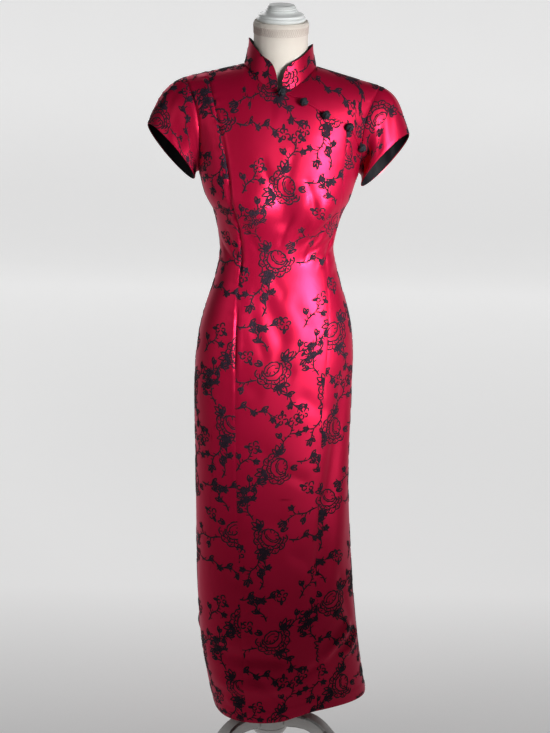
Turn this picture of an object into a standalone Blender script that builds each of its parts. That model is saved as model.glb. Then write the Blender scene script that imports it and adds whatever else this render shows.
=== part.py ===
# Long satin cheongsam standing on a cloth covered dress form with a wooden tripod stand.
# Metres, +Z up, the front faces -Y. Left and right in the names are the wearer's.
import functools
import math
from collections import namedtuple

import bmesh
import bpy
from mathutils import Vector

# Driving sizes
CLOTH = 0.0012
LINING = 0.0010
SEAM_GAP = 0.0003
LAYER_GAP = 0.0009
HEM = 0.127
UNDERARM = 1.300
ARCH = 0.285
SHOULDER = UNDERARM + ARCH

# Top of the bodice: the shoulder line and how the cloth arches over to it
SHOULDER_LINE_Z = 1.513
SHOULDER_LINE_Y = 0.006
SHOULDER_SLOPE = 0.26
SHOULDER_FLAT_X = 0.072
SHOULDER_FLARE = 0.37
SHOULDER_LEAN = 0.020
ARCH_POWER = 0.88
ROUNDNESS = 2.35
NORMAL_TURN_DEG = 0.8
NORMAL_RISE = 0.004
FOLD_REACH = 0.150

# Neck seam, an oval seen from above, and the stand collar
NECK_X = -0.006
NECK_HALF_WIDTH = 0.073
NECK_FRONT_DEPTH = 0.081
NECK_BACK_DEPTH = 0.064
COLLAR_HEIGHT = 0.051
COLLAR_CORNER = 0.026
COLLAR_LEFT_DIP = 0.007
COLLAR_END_DEG = 3.5
COLLAR_LEAN_SIDE = 0.010
COLLAR_LEAN_BACK = 0.014
COLLAR_LEAN_FRONT = 0.002
COLLAR_SINK = 0.0014
NECK_SEAM_GAP = 0.0011

# Seams of the body, as angles round it from the centre front
SIDE_RIGHT_DEG = -91.0
SIDE_LEFT_DEG = 96.0
BACK_DEG = 180.0
ARM_FRONT_DEG = 65.0
ARM_BACK_DEG = 117.0
SLIT_TOP = 0.50
SLIT_OPEN_DEG = 3.0
SLIT_TUCK = 0.006
HEM_RISE_FROM = 0.330

# Overlap of the front on the chest
OVERLAP_LIFT = CLOTH + LAYER_GAP
OVERLAP_HIDDEN = 0.030
OVERLAP_MARGIN = 0.014
OVERLAP_RAMP = 0.035
OVERLAP_START_DEG = -4.0

# Rows and columns of the walls
SKIRT_ROWS = 14
WAIST_ROWS = 14
ARM_ROWS = 10
WAIST_FROM = 0.86

# Cap sleeves
SLEEVE_OPENING_DEPTH = 0.050
SLEEVE_OPENING_TURN = 0.017
SLEEVE_RINGS = 6
ARMHOLE_GAP = 0.0007
LINING_FIRST_RING = 1
LINING_SET_BACK = 0.08

# Dress form
FORM_CLEARANCE = 0.0090
FORM_SHOULDER_CLEARANCE = 0.0008
FORM_BOTTOM = 0.800
FORM_COLUMNS = 13
FORM_ARM_DEG = 60.0
FORM_NECK_TOP = 1.600
FORM_NECK_RADIUS = 0.0530
FORM_NECK_BASE_RADIUS = 0.0600
FORM_NECK_LEAN = 0.030
FORM_NECK_TILT = 0.17
FORM_NECK_SUNK = 0.060
FORM_NECK_STEPS = 7
FORM_NECK_SIDES = 28

# The turned cap on the form's neck, a height and a radius a row
TurnedRow = namedtuple("TurnedRow", "up radius")
CAP_SIDES = 24
CAP_PROFILE = [
    TurnedRow(0.000, 0.046),
    TurnedRow(0.006, 0.048),
    TurnedRow(0.010, 0.045),
    TurnedRow(0.016, 0.043),
    TurnedRow(0.020, 0.030),
    TurnedRow(0.030, 0.027),
]

# Stand
POLE_RADIUS = 0.0140
HUB_RADIUS = 0.040
HUB_BOTTOM = 0.055
HUB_TOP = 0.160
HUB_CHAMFER = 0.012
LEG_WIDTH = 0.034
LEG_DEPTH = 0.030
FIRST_LEG_DEG = 220.0

LegRow = namedtuple("LegRow", "out up")

# The middle line of a leg: out of the hub, over a knee, down and flat along the floor.
LEG = [
    LegRow(HUB_RADIUS + SEAM_GAP, 0.095),
    LegRow(0.070, 0.098),
    LegRow(0.098, 0.095),
    LegRow(0.120, 0.082),
    LegRow(0.140, 0.062),
    LegRow(0.163, 0.042),
    LegRow(0.192, 0.027),
    LegRow(0.225, 0.018),
    LegRow(0.250, LEG_DEPTH / 2.0),
    LegRow(0.300, LEG_DEPTH / 2.0),
]

Section = namedtuple("Section", "z right left front back twist")

# One row a level: how far the cloth reaches to each side, and the turn of its front.
SECTIONS = [
    Section(0.127, 0.122, 0.216, 0.104, 0.106, 14.0),
    Section(0.171, 0.134, 0.208, 0.108, 0.108, 13.0),
    Section(0.229, 0.145, 0.198, 0.111, 0.110, 12.0),
    Section(0.293, 0.155, 0.189, 0.112, 0.112, 10.5),
    Section(0.392, 0.162, 0.177, 0.111, 0.115, 8.5),
    Section(0.500, 0.165, 0.167, 0.110, 0.117, 7.0),
    Section(0.640, 0.168, 0.158, 0.110, 0.119, 5.0),
    Section(0.778, 0.171, 0.155, 0.109, 0.121, 4.0),
    Section(0.860, 0.172, 0.156, 0.108, 0.123, 4.0),
    Section(0.925, 0.169, 0.158, 0.107, 0.121, 4.0),
    Section(0.985, 0.160, 0.152, 0.104, 0.113, 4.0),
    Section(1.035, 0.147, 0.140, 0.100, 0.103, 4.0),
    Section(1.073, 0.135, 0.128, 0.096, 0.094, 4.0),
    Section(1.105, 0.127, 0.119, 0.094, 0.087, 4.0),
    Section(1.145, 0.122, 0.111, 0.095, 0.083, 4.0),
    Section(1.185, 0.127, 0.116, 0.104, 0.086, 4.0),
    Section(1.225, 0.137, 0.128, 0.117, 0.092, 4.0),
    Section(1.255, 0.153, 0.142, 0.121, 0.098, 3.0),
    Section(1.300, 0.166, 0.155, 0.117, 0.104, 2.0),
]

HemRow = namedtuple("HemRow", "angle_deg rise")

# How much the hem is raised round the skirt; it climbs to the corner of the left slit.
HEM_RISES = [
    HemRow(-90.0, 0.003),
    HemRow(-40.0, 0.003),
    HemRow(0.0, 0.004),
    HemRow(20.0, 0.012),
    HemRow(38.0, 0.019),
    HemRow(66.0, 0.021),
    HemRow(96.0, 0.018),
    HemRow(125.0, 0.008),
    HemRow(165.0, 0.002),
    HemRow(225.0, 0.002),
    HemRow(270.0, 0.003),
]

Fold = namedtuple("Fold", "name from_deg from_z to_deg to_z width depth")

# Large soft folds, each a trough where depth is above zero and a ridge below.
FOLDS = [
    Fold("bust hollow between the cups", -2, 1.290, 0, 1.200, 0.030, 0.006),
    Fold("pull from left cup to waist", 30, 1.270, 12, 1.150, 0.012, 0.005),
    Fold("second pull under left cup", 50, 1.235, 28, 1.135, 0.010, 0.004),
    Fold("third pull at left side", 76, 1.220, 52, 1.120, 0.009, 0.004),
    Fold("waist crease left", 84, 1.154, 9, 1.132, 0.007, 0.003),
    Fold("dip below the waist", -22, 1.060, 5, 0.960, 0.026, 0.006),
    Fold("long fold down the left front", 67, 0.900, 36, 0.400, 0.018, 0.007),
    Fold("ridge beside the long fold", 80, 0.880, 52, 0.400, 0.022, -0.004),
    Fold("upper slant ridge at the slit", 68, 0.340, 40, 0.258, 0.012, -0.007),
    Fold("lower slant ridge at the slit", 77, 0.312, 61, 0.262, 0.010, -0.006),
    Fold("hem trough right", -64, 0.285, 10, 0.275, 0.020, 0.007),
    Fold("hem ridge right", -68, 0.216, 10, 0.206, 0.018, -0.005),
    Fold("back waist crease", 150, 1.150, 205, 1.140, 0.012, 0.004),
    Fold("back waist crease above", 160, 1.185, 215, 1.178, 0.011, 0.003),
    Fold("seat to hem fold at the back", 158, 0.800, 150, 0.220, 0.024, 0.006),
    Fold("second fold at the back", 212, 0.760, 216, 0.200, 0.026, 0.006),
    Fold("slant ridge at the right slit", 262, 0.330, 232, 0.235, 0.014, -0.006),
]

Cup = namedtuple("Cup", "angle_deg z reach height")
CUPS = [Cup(-30.0, 1.238, 0.050, 0.010), Cup(36.0, 1.238, 0.050, 0.010)]

SeamRow = namedtuple("SeamRow", "height right_deg left_deg")

# Where the two princess seams run, one row a level.
PRINCESS = [
    SeamRow(0.127, -38.0, 38.0),
    SeamRow(0.500, -40.0, 40.0),
    SeamRow(0.860, -43.0, 44.0),
    SeamRow(0.955, -44.5, 47.0),
    SeamRow(1.063, -47.5, 52.0),
    SeamRow(1.150, -47.0, 57.0),
    SeamRow(1.201, -44.5, 57.0),
    SeamRow(1.251, -44.5, 55.0),
    SeamRow(1.307, -48.0, 55.0),
    SeamRow(1.364, -50.5, 51.5),
    SeamRow(1.400, -51.0, 48.5),
    SeamRow(1.465, -51.0, 46.0),
    SeamRow(1.585, -50.0, 44.0),
]

OverlapRow = namedtuple("OverlapRow", "angle_deg z")

# The slanting edge of the front, from the collar to the left armhole.
OVERLAP = [
    OverlapRow(-4.0, 1.464),
    OverlapRow(14.0, 1.447),
    OverlapRow(31.0, 1.424),
    OverlapRow(49.0, 1.403),
    OverlapRow(65.0, 1.362),
]

Sleeve = namedtuple("Sleeve", "name side tip_x tip_z pit_x pit_z")
SLEEVES = [
    Sleeve("right", -1, -0.271, 1.393, -0.176, 1.284),
    Sleeve("left", 1, 0.257, 1.383, 0.164, 1.276),
]

Button = namedtuple("Button", "name angle_deg")
BUTTONS = [
    Button("button_1", -3.2),
    Button("button_2", 14.0),
    Button("button_3", 31.0),
    Button("button_4", 49.5),
    Button("button_5", 67.0),
]
BUTTON_RADIUS = 0.0085
BUTTON_FLATTENING = 0.80


def mix(a, b, share):
    return a + (b - a) * share


def ease(value):
    value = min(1.0, max(0.0, value))
    return value * value * (3.0 - 2.0 * value)


def read_row(table, key, column, at):
    """A table's column between its rows, along a smooth curve."""
    keys = [getattr(row, key) for row in table]
    values = [getattr(row, column) for row in table]
    if at <= keys[0]:
        return values[0]
    if at >= keys[-1]:
        return values[-1]
    i = max(k for k in range(len(keys) - 1) if keys[k] <= at)

    def slope(k):
        low = max(0, k - 1)
        high = min(len(keys) - 1, k + 1)
        return (values[high] - values[low]) / (keys[high] - keys[low])

    step = keys[i + 1] - keys[i]
    u = (at - keys[i]) / step
    start = (2 * u ** 3 - 3 * u ** 2 + 1) * values[i] + (u ** 3 - 2 * u ** 2 + u) * step * slope(i)
    end = (-2 * u ** 3 + 3 * u ** 2) * values[i + 1] + (u ** 3 - u ** 2) * step * slope(i + 1)
    return start + end


def fold_depth(angle, z, folded):
    """How far the bust cups and the folds move the cloth outward at an angle and level."""
    total = 0.0
    turn = angle % 360.0
    for fold in FOLDS if folded else []:
        from_deg = fold.from_deg % 360.0
        to_deg = from_deg + (fold.to_deg - fold.from_deg)
        away = (turn - from_deg + 180.0) % 360.0 - 180.0
        run = math.radians(to_deg - from_deg) * FOLD_REACH
        rise = fold.to_z - fold.from_z
        across = math.radians(away) * FOLD_REACH
        up = z - fold.from_z
        length = math.hypot(run, rise)
        along = (across * run + up * rise) / length ** 2
        side = (across * rise - up * run) / length
        fade = ease((along + 0.15) / 0.35) * ease((1.15 - along) / 0.35)
        total -= fold.depth * fade * math.exp(-(side / fold.width) ** 2)
    for cup in CUPS:
        away = (turn - cup.angle_deg + 180.0) % 360.0 - 180.0
        far = math.hypot(math.radians(away) * FOLD_REACH, z - cup.z)
        total += cup.height * math.exp(-(far / cup.reach) ** 2)
    return total


def shoulder_z(x):
    drop = SHOULDER_SLOPE * max(0.0, abs(x - NECK_X) - SHOULDER_FLAT_X)
    return SHOULDER_LINE_Z - drop - SHOULDER_LEAN * x


@functools.lru_cache(maxsize=None)
def section_at(z):
    """The section between the rows of the table."""
    columns = ("right", "left", "front", "back", "twist")
    return Section(z, *[read_row(SECTIONS, "z", column, z) for column in columns])


@functools.lru_cache(maxsize=None)
def ring_point(angle, z, folded):
    """A point of the horizontal section at level z, below the underarm."""
    turn = math.radians(angle)
    across = abs(math.sin(turn))
    ahead = abs(math.cos(turn))
    section = section_at(z)
    width = section.left if math.sin(turn) > 0 else section.right
    depth = section.front if math.cos(turn) > 0 else section.back
    reach = ((across / width) ** ROUNDNESS + (ahead / depth) ** ROUNDNESS) ** (-1.0 / ROUNDNESS)
    reach += fold_depth(angle, z, folded)
    x = reach * math.sin(turn)
    y = -reach * math.cos(turn)
    twist = math.radians(section.twist)
    rise = read_row(HEM_RISES, "angle_deg", "rise", (angle + 90.0) % 360.0 - 90.0)
    z += rise * ease((HEM_RISE_FROM - z) / (HEM_RISE_FROM - HEM))
    return x * math.cos(twist) - y * math.sin(twist), x * math.sin(twist) + y * math.cos(twist), z


def base_point(angle, height, folded=True):
    """The body's surface: level rings up to the underarm, then an arch to the shoulder line."""
    if height <= UNDERARM:
        return Vector(ring_point(angle, height, folded))
    low = Vector(ring_point(angle, UNDERARM, folded))
    share = min(1.0, (height - UNDERARM) / ARCH)
    phase = share * math.pi / 2.0
    x = NECK_X + (low.x - NECK_X) * (1.0 + SHOULDER_FLARE * math.sin(phase) ** 1.5)
    y = SHOULDER_LINE_Y + (low.y - SHOULDER_LINE_Y) * max(0.0, math.cos(phase)) ** ARCH_POWER
    top = shoulder_z(x)
    return Vector((x, y, UNDERARM + (top - UNDERARM) * math.sin(phase)))


def normal_at(angle, height, folded=True):
    """The outward direction of the body's surface, from four points close by."""
    turn = NORMAL_TURN_DEG
    rise = NORMAL_RISE
    low = max(HEM, height - rise)
    high = min(SHOULDER - 0.003, height + rise)
    low = min(low, high - rise)
    level = min(height, high)
    across = base_point(angle + turn, level, folded) - base_point(angle - turn, level, folded)
    up = base_point(angle, high, folded) - base_point(angle, low, folded)
    return across.cross(up).normalized()


def height_of(angle, z):
    """The height along the surface where it is at level z."""
    if z <= UNDERARM:
        return z
    low = UNDERARM
    high = SHOULDER
    for _ in range(40):
        middle = (low + high) / 2.0
        if base_point(angle, middle).z < z:
            low = middle
        else:
            high = middle
    return (low + high) / 2.0


@functools.lru_cache(maxsize=None)
def neck_spot(turn_deg, grow=0.0):
    """Angle and height on the body's surface where the neck oval crosses it."""
    turn = math.radians(turn_deg)
    front = math.cos(turn) > 0
    depth = NECK_FRONT_DEPTH if front else NECK_BACK_DEPTH
    target_x = NECK_X + (NECK_HALF_WIDTH + grow) * math.sin(turn)
    target_y = SHOULDER_LINE_Y - (depth + grow) * math.cos(turn)
    low = UNDERARM
    high = SHOULDER
    angle = turn_deg
    for _ in range(24):
        height = (low + high) / 2.0
        if front:
            left, right = -89.0, 89.0
        else:
            left, right = 91.0, 269.0
        for _ in range(22):
            angle = (left + right) / 2.0
            x = base_point(angle, height).x
            if (x < target_x) == front:
                left = angle
            else:
                right = angle
        y = base_point(angle, height).y
        if (y < target_y) == front:
            low = height
        else:
            high = height
    return angle, height


def princess(column, height):
    return read_row(PRINCESS, "height", column, height)


def arm_share(height):
    share = min(1.0, max(0.0, (height - UNDERARM) / (0.5 * ARCH)))
    return math.sin(share * math.pi / 2.0) ** 0.6


def edge_angle(side, half, height):
    """The outer edge of a panel: its side seam or slit, then the armhole above the underarm."""
    seam = SIDE_LEFT_DEG if side > 0 else -SIDE_RIGHT_DEG
    arm = ARM_FRONT_DEG if half == "front" else ARM_BACK_DEG
    if height <= UNDERARM:
        opening = SLIT_OPEN_DEG * ease((SLIT_TOP - height) / (SLIT_TOP - HEM))
        return side * (seam if half == "front" else seam + opening)
    return side * mix(seam, arm, arm_share(height))


def overlap_height(angle):
    z = read_row(OVERLAP, "angle_deg", "z", max(angle, OVERLAP_START_DEG))
    return height_of(angle, z)


def arm_heights(top=SHOULDER):
    """Heights of the rows from the underarm up, closer together at both ends."""
    rows = []
    for i in range(ARM_ROWS + 1):
        even = i / ARM_ROWS
        eased = (1.0 - math.cos(math.pi * even)) / 2.0
        rows.append(UNDERARM + (top - UNDERARM) * mix(even, eased, 0.6))
    return rows


def low_heights():
    """Heights of the rows from the hem to the underarm, shared by every panel."""
    skirt = [mix(HEM, WAIST_FROM, i / SKIRT_ROWS) for i in range(SKIRT_ROWS)]
    waist = [mix(WAIST_FROM, UNDERARM, i / WAIST_ROWS) for i in range(WAIST_ROWS)]
    return skirt + waist


def add_object(name, bm, material):
    mesh = bpy.data.meshes.new(name)
    bm.to_mesh(mesh)
    bm.free()
    mesh.shade_smooth()
    mesh.set_sharp_from_angle(angle=math.radians(40.0))
    mesh.materials.append(material)
    result = bpy.data.objects.new(name, mesh)
    bpy.context.collection.objects.link(result)
    return result


def make_material(name, colour, roughness, metallic=0.0):
    material = bpy.data.materials.new(name)
    material.use_nodes = True
    shader = material.node_tree.nodes["Principled BSDF"]
    shader.inputs["Base Color"].default_value = (*colour, 1.0)
    shader.inputs["Roughness"].default_value = roughness
    shader.inputs["Metallic"].default_value = metallic
    return material


def cloth_wall(outer, inner, round_it=False):
    """A closed wall between two grids of points, open or closed round its columns."""
    bm = bmesh.new()
    skins = []
    for grid in (outer, inner):
        skins.append([[bm.verts.new(point) for point in column] for column in grid])
    columns = len(outer)
    rows = len(outer[0])
    spans = columns if round_it else columns - 1
    for skin, flip in ((skins[0], False), (skins[1], True)):
        for i in range(spans):
            for j in range(rows - 1):
                k = (i + 1) % columns
                corners = [skin[i][j], skin[k][j], skin[k][j + 1], skin[i][j + 1]]
                bm.faces.new(corners[::-1] if flip else corners)
    for i in range(spans):
        k = (i + 1) % columns
        bm.faces.new([skins[1][i][0], skins[1][k][0], skins[0][k][0], skins[0][i][0]])
        bm.faces.new([skins[0][i][-1], skins[0][k][-1], skins[1][k][-1], skins[1][i][-1]])
    if not round_it:
        for j in range(rows - 1):
            bm.faces.new([skins[0][0][j], skins[0][0][j + 1], skins[1][0][j + 1], skins[1][0][j]])
            bm.faces.new([skins[1][-1][j], skins[1][-1][j + 1], skins[0][-1][j + 1], skins[0][-1][j]])
    bmesh.ops.recalc_face_normals(bm, faces=bm.faces)
    bmesh.ops.triangulate(bm, faces=bm.faces)
    return bm


def lifted(angle, height, lift, folded=True):
    return base_point(angle, height, folded) + normal_at(angle, height, folded) * lift


def overlap_lift(angle, height):
    """How far the front is raised where it lies on the under panel."""
    if angle < OVERLAP_START_DEG - 8.0 or height < UNDERARM - 0.1:
        return 0.0
    below = overlap_height(angle) - height
    near = ease(1.0 - (below - OVERLAP_HIDDEN - OVERLAP_MARGIN) / OVERLAP_RAMP)
    return OVERLAP_LIFT * near * ease((angle - OVERLAP_START_DEG + 8.0) / 8.0)


def side_shift(angle, height, edge):
    """The angle moved inside its panel's edge by half a seam gap."""
    reach = max(0.05, base_point(angle, height).xy.length)
    return math.degrees(SEAM_GAP / 2.0 / reach) * edge


def slit_tuck(angle, height, half):
    """The back lies a little inside the front along each slit."""
    if half == "front" or height > SLIT_TOP:
        return 0.0
    seam = SIDE_LEFT_DEG if angle > 0 else SIDE_RIGHT_DEG
    near = math.exp(-((angle - seam) / 14.0) ** 2)
    return -SLIT_TUCK * near * ease((SLIT_TOP - height) / (SLIT_TOP - HEM))


def panel(name, edges, columns, fractions, half, material, lift, low=True):
    """A cloth panel between two edge functions; a column is its share across and its top."""
    outer = []
    inner = []
    for share, bottom, top in columns:
        column_outer = []
        column_inner = []
        heights = (low_heights() if low else []) + [mix(bottom, top, f) for f in fractions]
        for height in heights:
            start = edges[0](height)
            start += side_shift(start, height, 1.0)
            end = edges[1](height)
            end -= side_shift(end, height, 1.0)
            angle = mix(start, end, share)
            raised = lift(angle, height) + slit_tuck(angle, height, half)
            sides = [lifted(angle, height, raised), lifted(angle, height, raised - CLOTH)]
            if height >= SHOULDER - 1e-6:
                for point in sides:
                    point.y = SHOULDER_LINE_Y + SEAM_GAP / 2.0 * (-1.0 if half == "front" else 1.0)
            column_outer.append(sides[0])
            column_inner.append(sides[1])
        outer.append(column_outer)
        inner.append(column_inner)
    return add_object(name, cloth_wall(outer, inner), material)


def share_of(angle, height, edges):
    start = edges[0](height)
    return (angle - start) / (edges[1](height) - start)


def neck_columns(edges, turns, bottom=UNDERARM):
    """Columns that end on the neck seam."""
    result = []
    for turn in turns:
        angle, height = neck_spot(turn, NECK_SEAM_GAP)
        result.append((share_of(angle, height, edges), bottom, height))
    return result


def overlap_column(share, edges):
    """A column that ends on the overlap's edge."""
    low = UNDERARM
    high = SHOULDER
    for _ in range(40):
        middle = (low + high) / 2.0
        angle = mix(edges[0](middle), edges[1](middle), share)
        if middle < overlap_height(angle):
            low = middle
        else:
            high = middle
    return share, UNDERARM, low


def spread(start, end, count, first=True):
    return [mix(start, end, i / count) for i in range(0 if first else 1, count + 1)]


def arm_fractions(first=0, last=ARM_ROWS):
    rows = arm_heights()[first:last + 1]
    return [(row - rows[0]) / (rows[-1] - rows[0]) for row in rows]


def no_lift(angle, height):
    return 0.0


def build_fronts(satin):
    right_seam = lambda height: princess("right_deg", height)
    left_seam = lambda height: princess("left_deg", height)
    right_side = lambda height: edge_angle(-1, "front", height)
    left_side = lambda height: edge_angle(1, "front", height)
    edges = (right_seam, left_seam)
    neck = neck_columns(edges, (-89.0, -75.0, -60.0, -45.0, -32.0, -22.0, -14.0, -6.5, 1.5))
    shoulder = [(share, UNDERARM, SHOULDER) for share in spread(0.0, neck[0][0], 2)[:-1]]
    chest = [overlap_column(share, edges) for share in spread(neck[-1][0], 1.0, 5, False)]
    panel("front_centre", edges, shoulder + neck + chest, arm_fractions(), "front", satin, overlap_lift)
    edges = (right_side, right_seam)
    columns = [(share, UNDERARM, SHOULDER) for share in spread(0.0, 1.0, 5)]
    panel("side_front_right", edges, columns, arm_fractions(), "front", satin, no_lift)
    edges = (left_seam, left_side)
    arm_row = overlap_arm_row()
    columns = [overlap_column(share, edges) for share in spread(0.0, 1.0, 5)]
    columns[-1] = (1.0, UNDERARM, arm_heights()[arm_row])
    panel("side_front_left", edges, columns, arm_fractions(0, arm_row), "front", satin, overlap_lift)
    centre = lambda height: OVERLAP_START_DEG + 1.5
    edges = (centre, left_side)
    build_under_panel(edges, arm_row, satin)


def overlap_arm_row():
    """The armhole row nearest to the overlap's end."""
    end = overlap_height(ARM_FRONT_DEG)
    rows = arm_heights()
    return min(range(len(rows)), key=lambda i: abs(rows[i] - end))


def build_under_panel(edges, arm_row, satin):
    """The part of the chest between the overlap's edge, the collar, the shoulder and the armhole."""
    neck = neck_columns(edges, (5.0, 14.0, 22.0, 32.0, 45.0, 60.0, 75.0, 89.0))
    last = neck[-1][0]
    shoulder = [(share, UNDERARM, SHOULDER) for share in spread(last, 1.0, 4, False)]
    columns = []
    for share, _, top in neck + shoulder:
        edge = overlap_column(share, edges)[2] if share < 1.0 else arm_heights()[arm_row]
        columns.append((share, edge - OVERLAP_HIDDEN, top))
    rows = arm_heights()[arm_row:]
    start = rows[0] - OVERLAP_HIDDEN
    rows = [start, start + OVERLAP_HIDDEN / 2.0] + rows
    fractions = [(row - start) / (SHOULDER - start) for row in rows]
    panel("under_panel", edges, columns, fractions, "front", satin, no_lift, low=False)


def build_backs(satin):
    for name, side in (("back_right", -1), ("back_left", 1)):
        side_edge = lambda height, s=side: edge_angle(s, "back", height)
        centre = lambda height, s=side: s * BACK_DEG
        edges = (side_edge, centre) if side > 0 else (centre, side_edge)
        turns = (91.0, 105.0, 120.0, 135.0, 150.0, 165.0, 179.8)
        if side < 0:
            turns = [360.0 - turn for turn in turns[::-1]]
        columns = []
        for turn in turns:
            angle, height = neck_spot(turn, NECK_SEAM_GAP)
            angle = angle if side > 0 else angle - 360.0
            share = min(1.0, max(0.0, share_of(angle, height, edges)))
            columns.append((share, UNDERARM, height))
        if side > 0:
            columns[-1] = (1.0, UNDERARM, columns[-1][2])
            outer = spread(0.0, columns[0][0], 4)[:-1]
            columns = [(share, UNDERARM, SHOULDER) for share in outer] + columns
        else:
            columns[0] = (0.0, UNDERARM, columns[0][2])
            outer = spread(columns[-1][0], 1.0, 4, False)
            columns = columns + [(share, UNDERARM, SHOULDER) for share in outer]
        panel(name, edges, columns, arm_fractions(), "back", satin, no_lift)


def collar_rise(turn_deg):
    """The collar's height round the neck, rounded off at its two front ends."""
    x = NECK_HALF_WIDTH * math.sin(math.radians(turn_deg))
    end = NECK_HALF_WIDTH * math.sin(math.radians(COLLAR_END_DEG))
    dip = COLLAR_LEFT_DIP * max(0.0, math.sin(math.radians(turn_deg)))
    if abs(x) > COLLAR_CORNER or math.cos(math.radians(turn_deg)) < 0:
        return COLLAR_HEIGHT - dip
    share = (COLLAR_CORNER - abs(x)) / (COLLAR_CORNER - end)
    return (COLLAR_HEIGHT - dip) * (0.12 + 0.88 * math.sqrt(max(0.0, 1.0 - share ** 2.2)))


def collar_point(turn_deg, share, inset):
    """A point of the collar: round the neck, up from its seam, and in from its face."""
    angle, height = neck_spot(turn_deg)
    seam = base_point(angle, height)
    turn = math.radians(turn_deg)
    out = Vector((math.sin(turn), -math.cos(turn), 0.0)).normalized()
    ahead = math.cos(turn)
    lean = mix(COLLAR_LEAN_SIDE, COLLAR_LEAN_FRONT if ahead > 0 else COLLAR_LEAN_BACK, abs(ahead))
    rise = collar_rise(turn_deg)
    curve = math.sin(share * math.pi / 2.0)
    reach = rise / COLLAR_HEIGHT
    up = share * rise - COLLAR_SINK * (1.0 - share)
    return seam - out * (lean * curve * reach + inset) + Vector((0.0, 0.0, up))


def collar_turns():
    """Angles round the collar, closer together at its rounded ends."""
    front = [COLLAR_END_DEG, 6.5, 10.0, 14.0, 18.0, 22.0, 32.0]
    rest = spread(45.0, 180.0, 9)
    half = front + rest
    return half + [360.0 - turn for turn in half[-2::-1]]


def build_collar(satin, black):
    rows = (0.0, 0.35, 0.7, 1.0)
    turns = collar_turns()
    layers = (("collar", satin, 0.0, CLOTH, 1.0), ("collar_lining", black, CLOTH + SEAM_GAP, LINING, 0.975))
    for name, material, inset, thickness, top in layers:
        outer = [[collar_point(turn, row * top, inset) for row in rows] for turn in turns]
        inner = [[collar_point(turn, row * top, inset + thickness) for row in rows] for turn in turns]
        add_object(name, cloth_wall(outer, inner), material)


def arm_loop(side):
    """The armhole's edge from the shoulder down its front, and up its back."""
    rows = arm_heights()
    front = [(edge_angle(side, "front", row), row) for row in rows[::-1]]
    back = [(edge_angle(side, "back", row), row) for row in rows[1:]]
    return front + back[:-1]


def sleeve_grid(sleeve, inset, first_ring=0, set_back=0.0):
    """Columns of the sleeve from the armhole to its opening, moved in from its face."""
    loop = arm_loop(sleeve.side)
    tip = Vector((sleeve.tip_x, 0.0, sleeve.tip_z))
    pit = Vector((sleeve.pit_x, 0.0, sleeve.pit_z))
    middle = (tip + pit) / 2.0
    half = (tip - pit) / 2.0
    inward = Vector((-sleeve.side * half.z, 0.0, abs(half.x))).normalized()
    depth = Vector((0.0, -SLEEVE_OPENING_DEPTH, 0.0)) + inward * SLEEVE_OPENING_TURN
    count = len(loop)
    faces = []
    for i, (angle, height) in enumerate(loop):
        edge = lifted(angle, height, overlap_lift(angle, height) if angle < 90.0 else 0.0)
        if height >= SHOULDER - 1e-6:
            edge.y = SHOULDER_LINE_Y
        turn = 2.0 * math.pi * i / count
        mouth = middle + half * math.cos(turn) + depth * math.sin(turn)
        out = Vector((sleeve.side, 0.0, -0.25 * math.cos(turn) - 0.10)).normalized()
        lead = 0.42 * (mouth - edge).length
        drop = Vector((sleeve.side * 0.42, 0.0, -1.0)).normalized() * lead * max(0.25, math.cos(turn / 2.0) ** 2)
        begin = edge + out * ARMHOLE_GAP
        ahead = begin + out * lead
        second = mouth - drop
        column = []
        for k in range(SLEEVE_RINGS + 1):
            u = k / SLEEVE_RINGS
            point = begin * (1 - u) ** 3 + ahead * 3 * u * (1 - u) ** 2
            column.append(point + second * 3 * u ** 2 * (1 - u) + mouth * u ** 3)
        faces.append(column)
    grid = []
    for i in range(count):
        column = []
        for k in range(SLEEVE_RINGS + 1):
            across = faces[(i + 1) % count][k] - faces[i - 1][k]
            along = faces[i][min(SLEEVE_RINGS, k + 1)] - faces[i][max(0, k - 1)]
            normal = across.cross(along).normalized() * sleeve.side
            column.append(faces[i][k] - normal * inset)
        column[-1] = column[-1].lerp(column[-2], set_back)
        grid.append(column[first_ring:])
    return grid


def build_sleeves(satin, black):
    for sleeve in SLEEVES:
        outer = sleeve_grid(sleeve, 0.0)
        inner = sleeve_grid(sleeve, CLOTH)
        add_object("sleeve_" + sleeve.name, cloth_wall(outer, inner, True), satin)
        inset = CLOTH + SEAM_GAP
        outer = sleeve_grid(sleeve, inset, LINING_FIRST_RING, LINING_SET_BACK)
        inner = sleeve_grid(sleeve, inset + LINING, LINING_FIRST_RING, LINING_SET_BACK)
        add_object("sleeve_lining_" + sleeve.name, cloth_wall(outer, inner, True), black)


def build_buttons(black):
    for button in BUTTONS:
        height = overlap_height(button.angle_deg) - 0.004
        facing = normal_at(button.angle_deg, height)
        seat = lifted(button.angle_deg, height, OVERLAP_LIFT + SEAM_GAP)
        bm = bmesh.new()
        bmesh.ops.create_uvsphere(bm, u_segments=10, v_segments=7, radius=BUTTON_RADIUS)
        for vert in bm.verts:
            vert.co.z *= BUTTON_FLATTENING
        turn = Vector((0.0, 0.0, 1.0)).rotation_difference(facing)
        bmesh.ops.rotate(bm, verts=bm.verts, cent=(0, 0, 0), matrix=turn.to_matrix())
        lift = BUTTON_RADIUS * BUTTON_FLATTENING
        bmesh.ops.translate(bm, verts=bm.verts, vec=seat + facing * lift)
        bmesh.ops.triangulate(bm, faces=bm.faces)
        add_object(button.name, bm, black)


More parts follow.
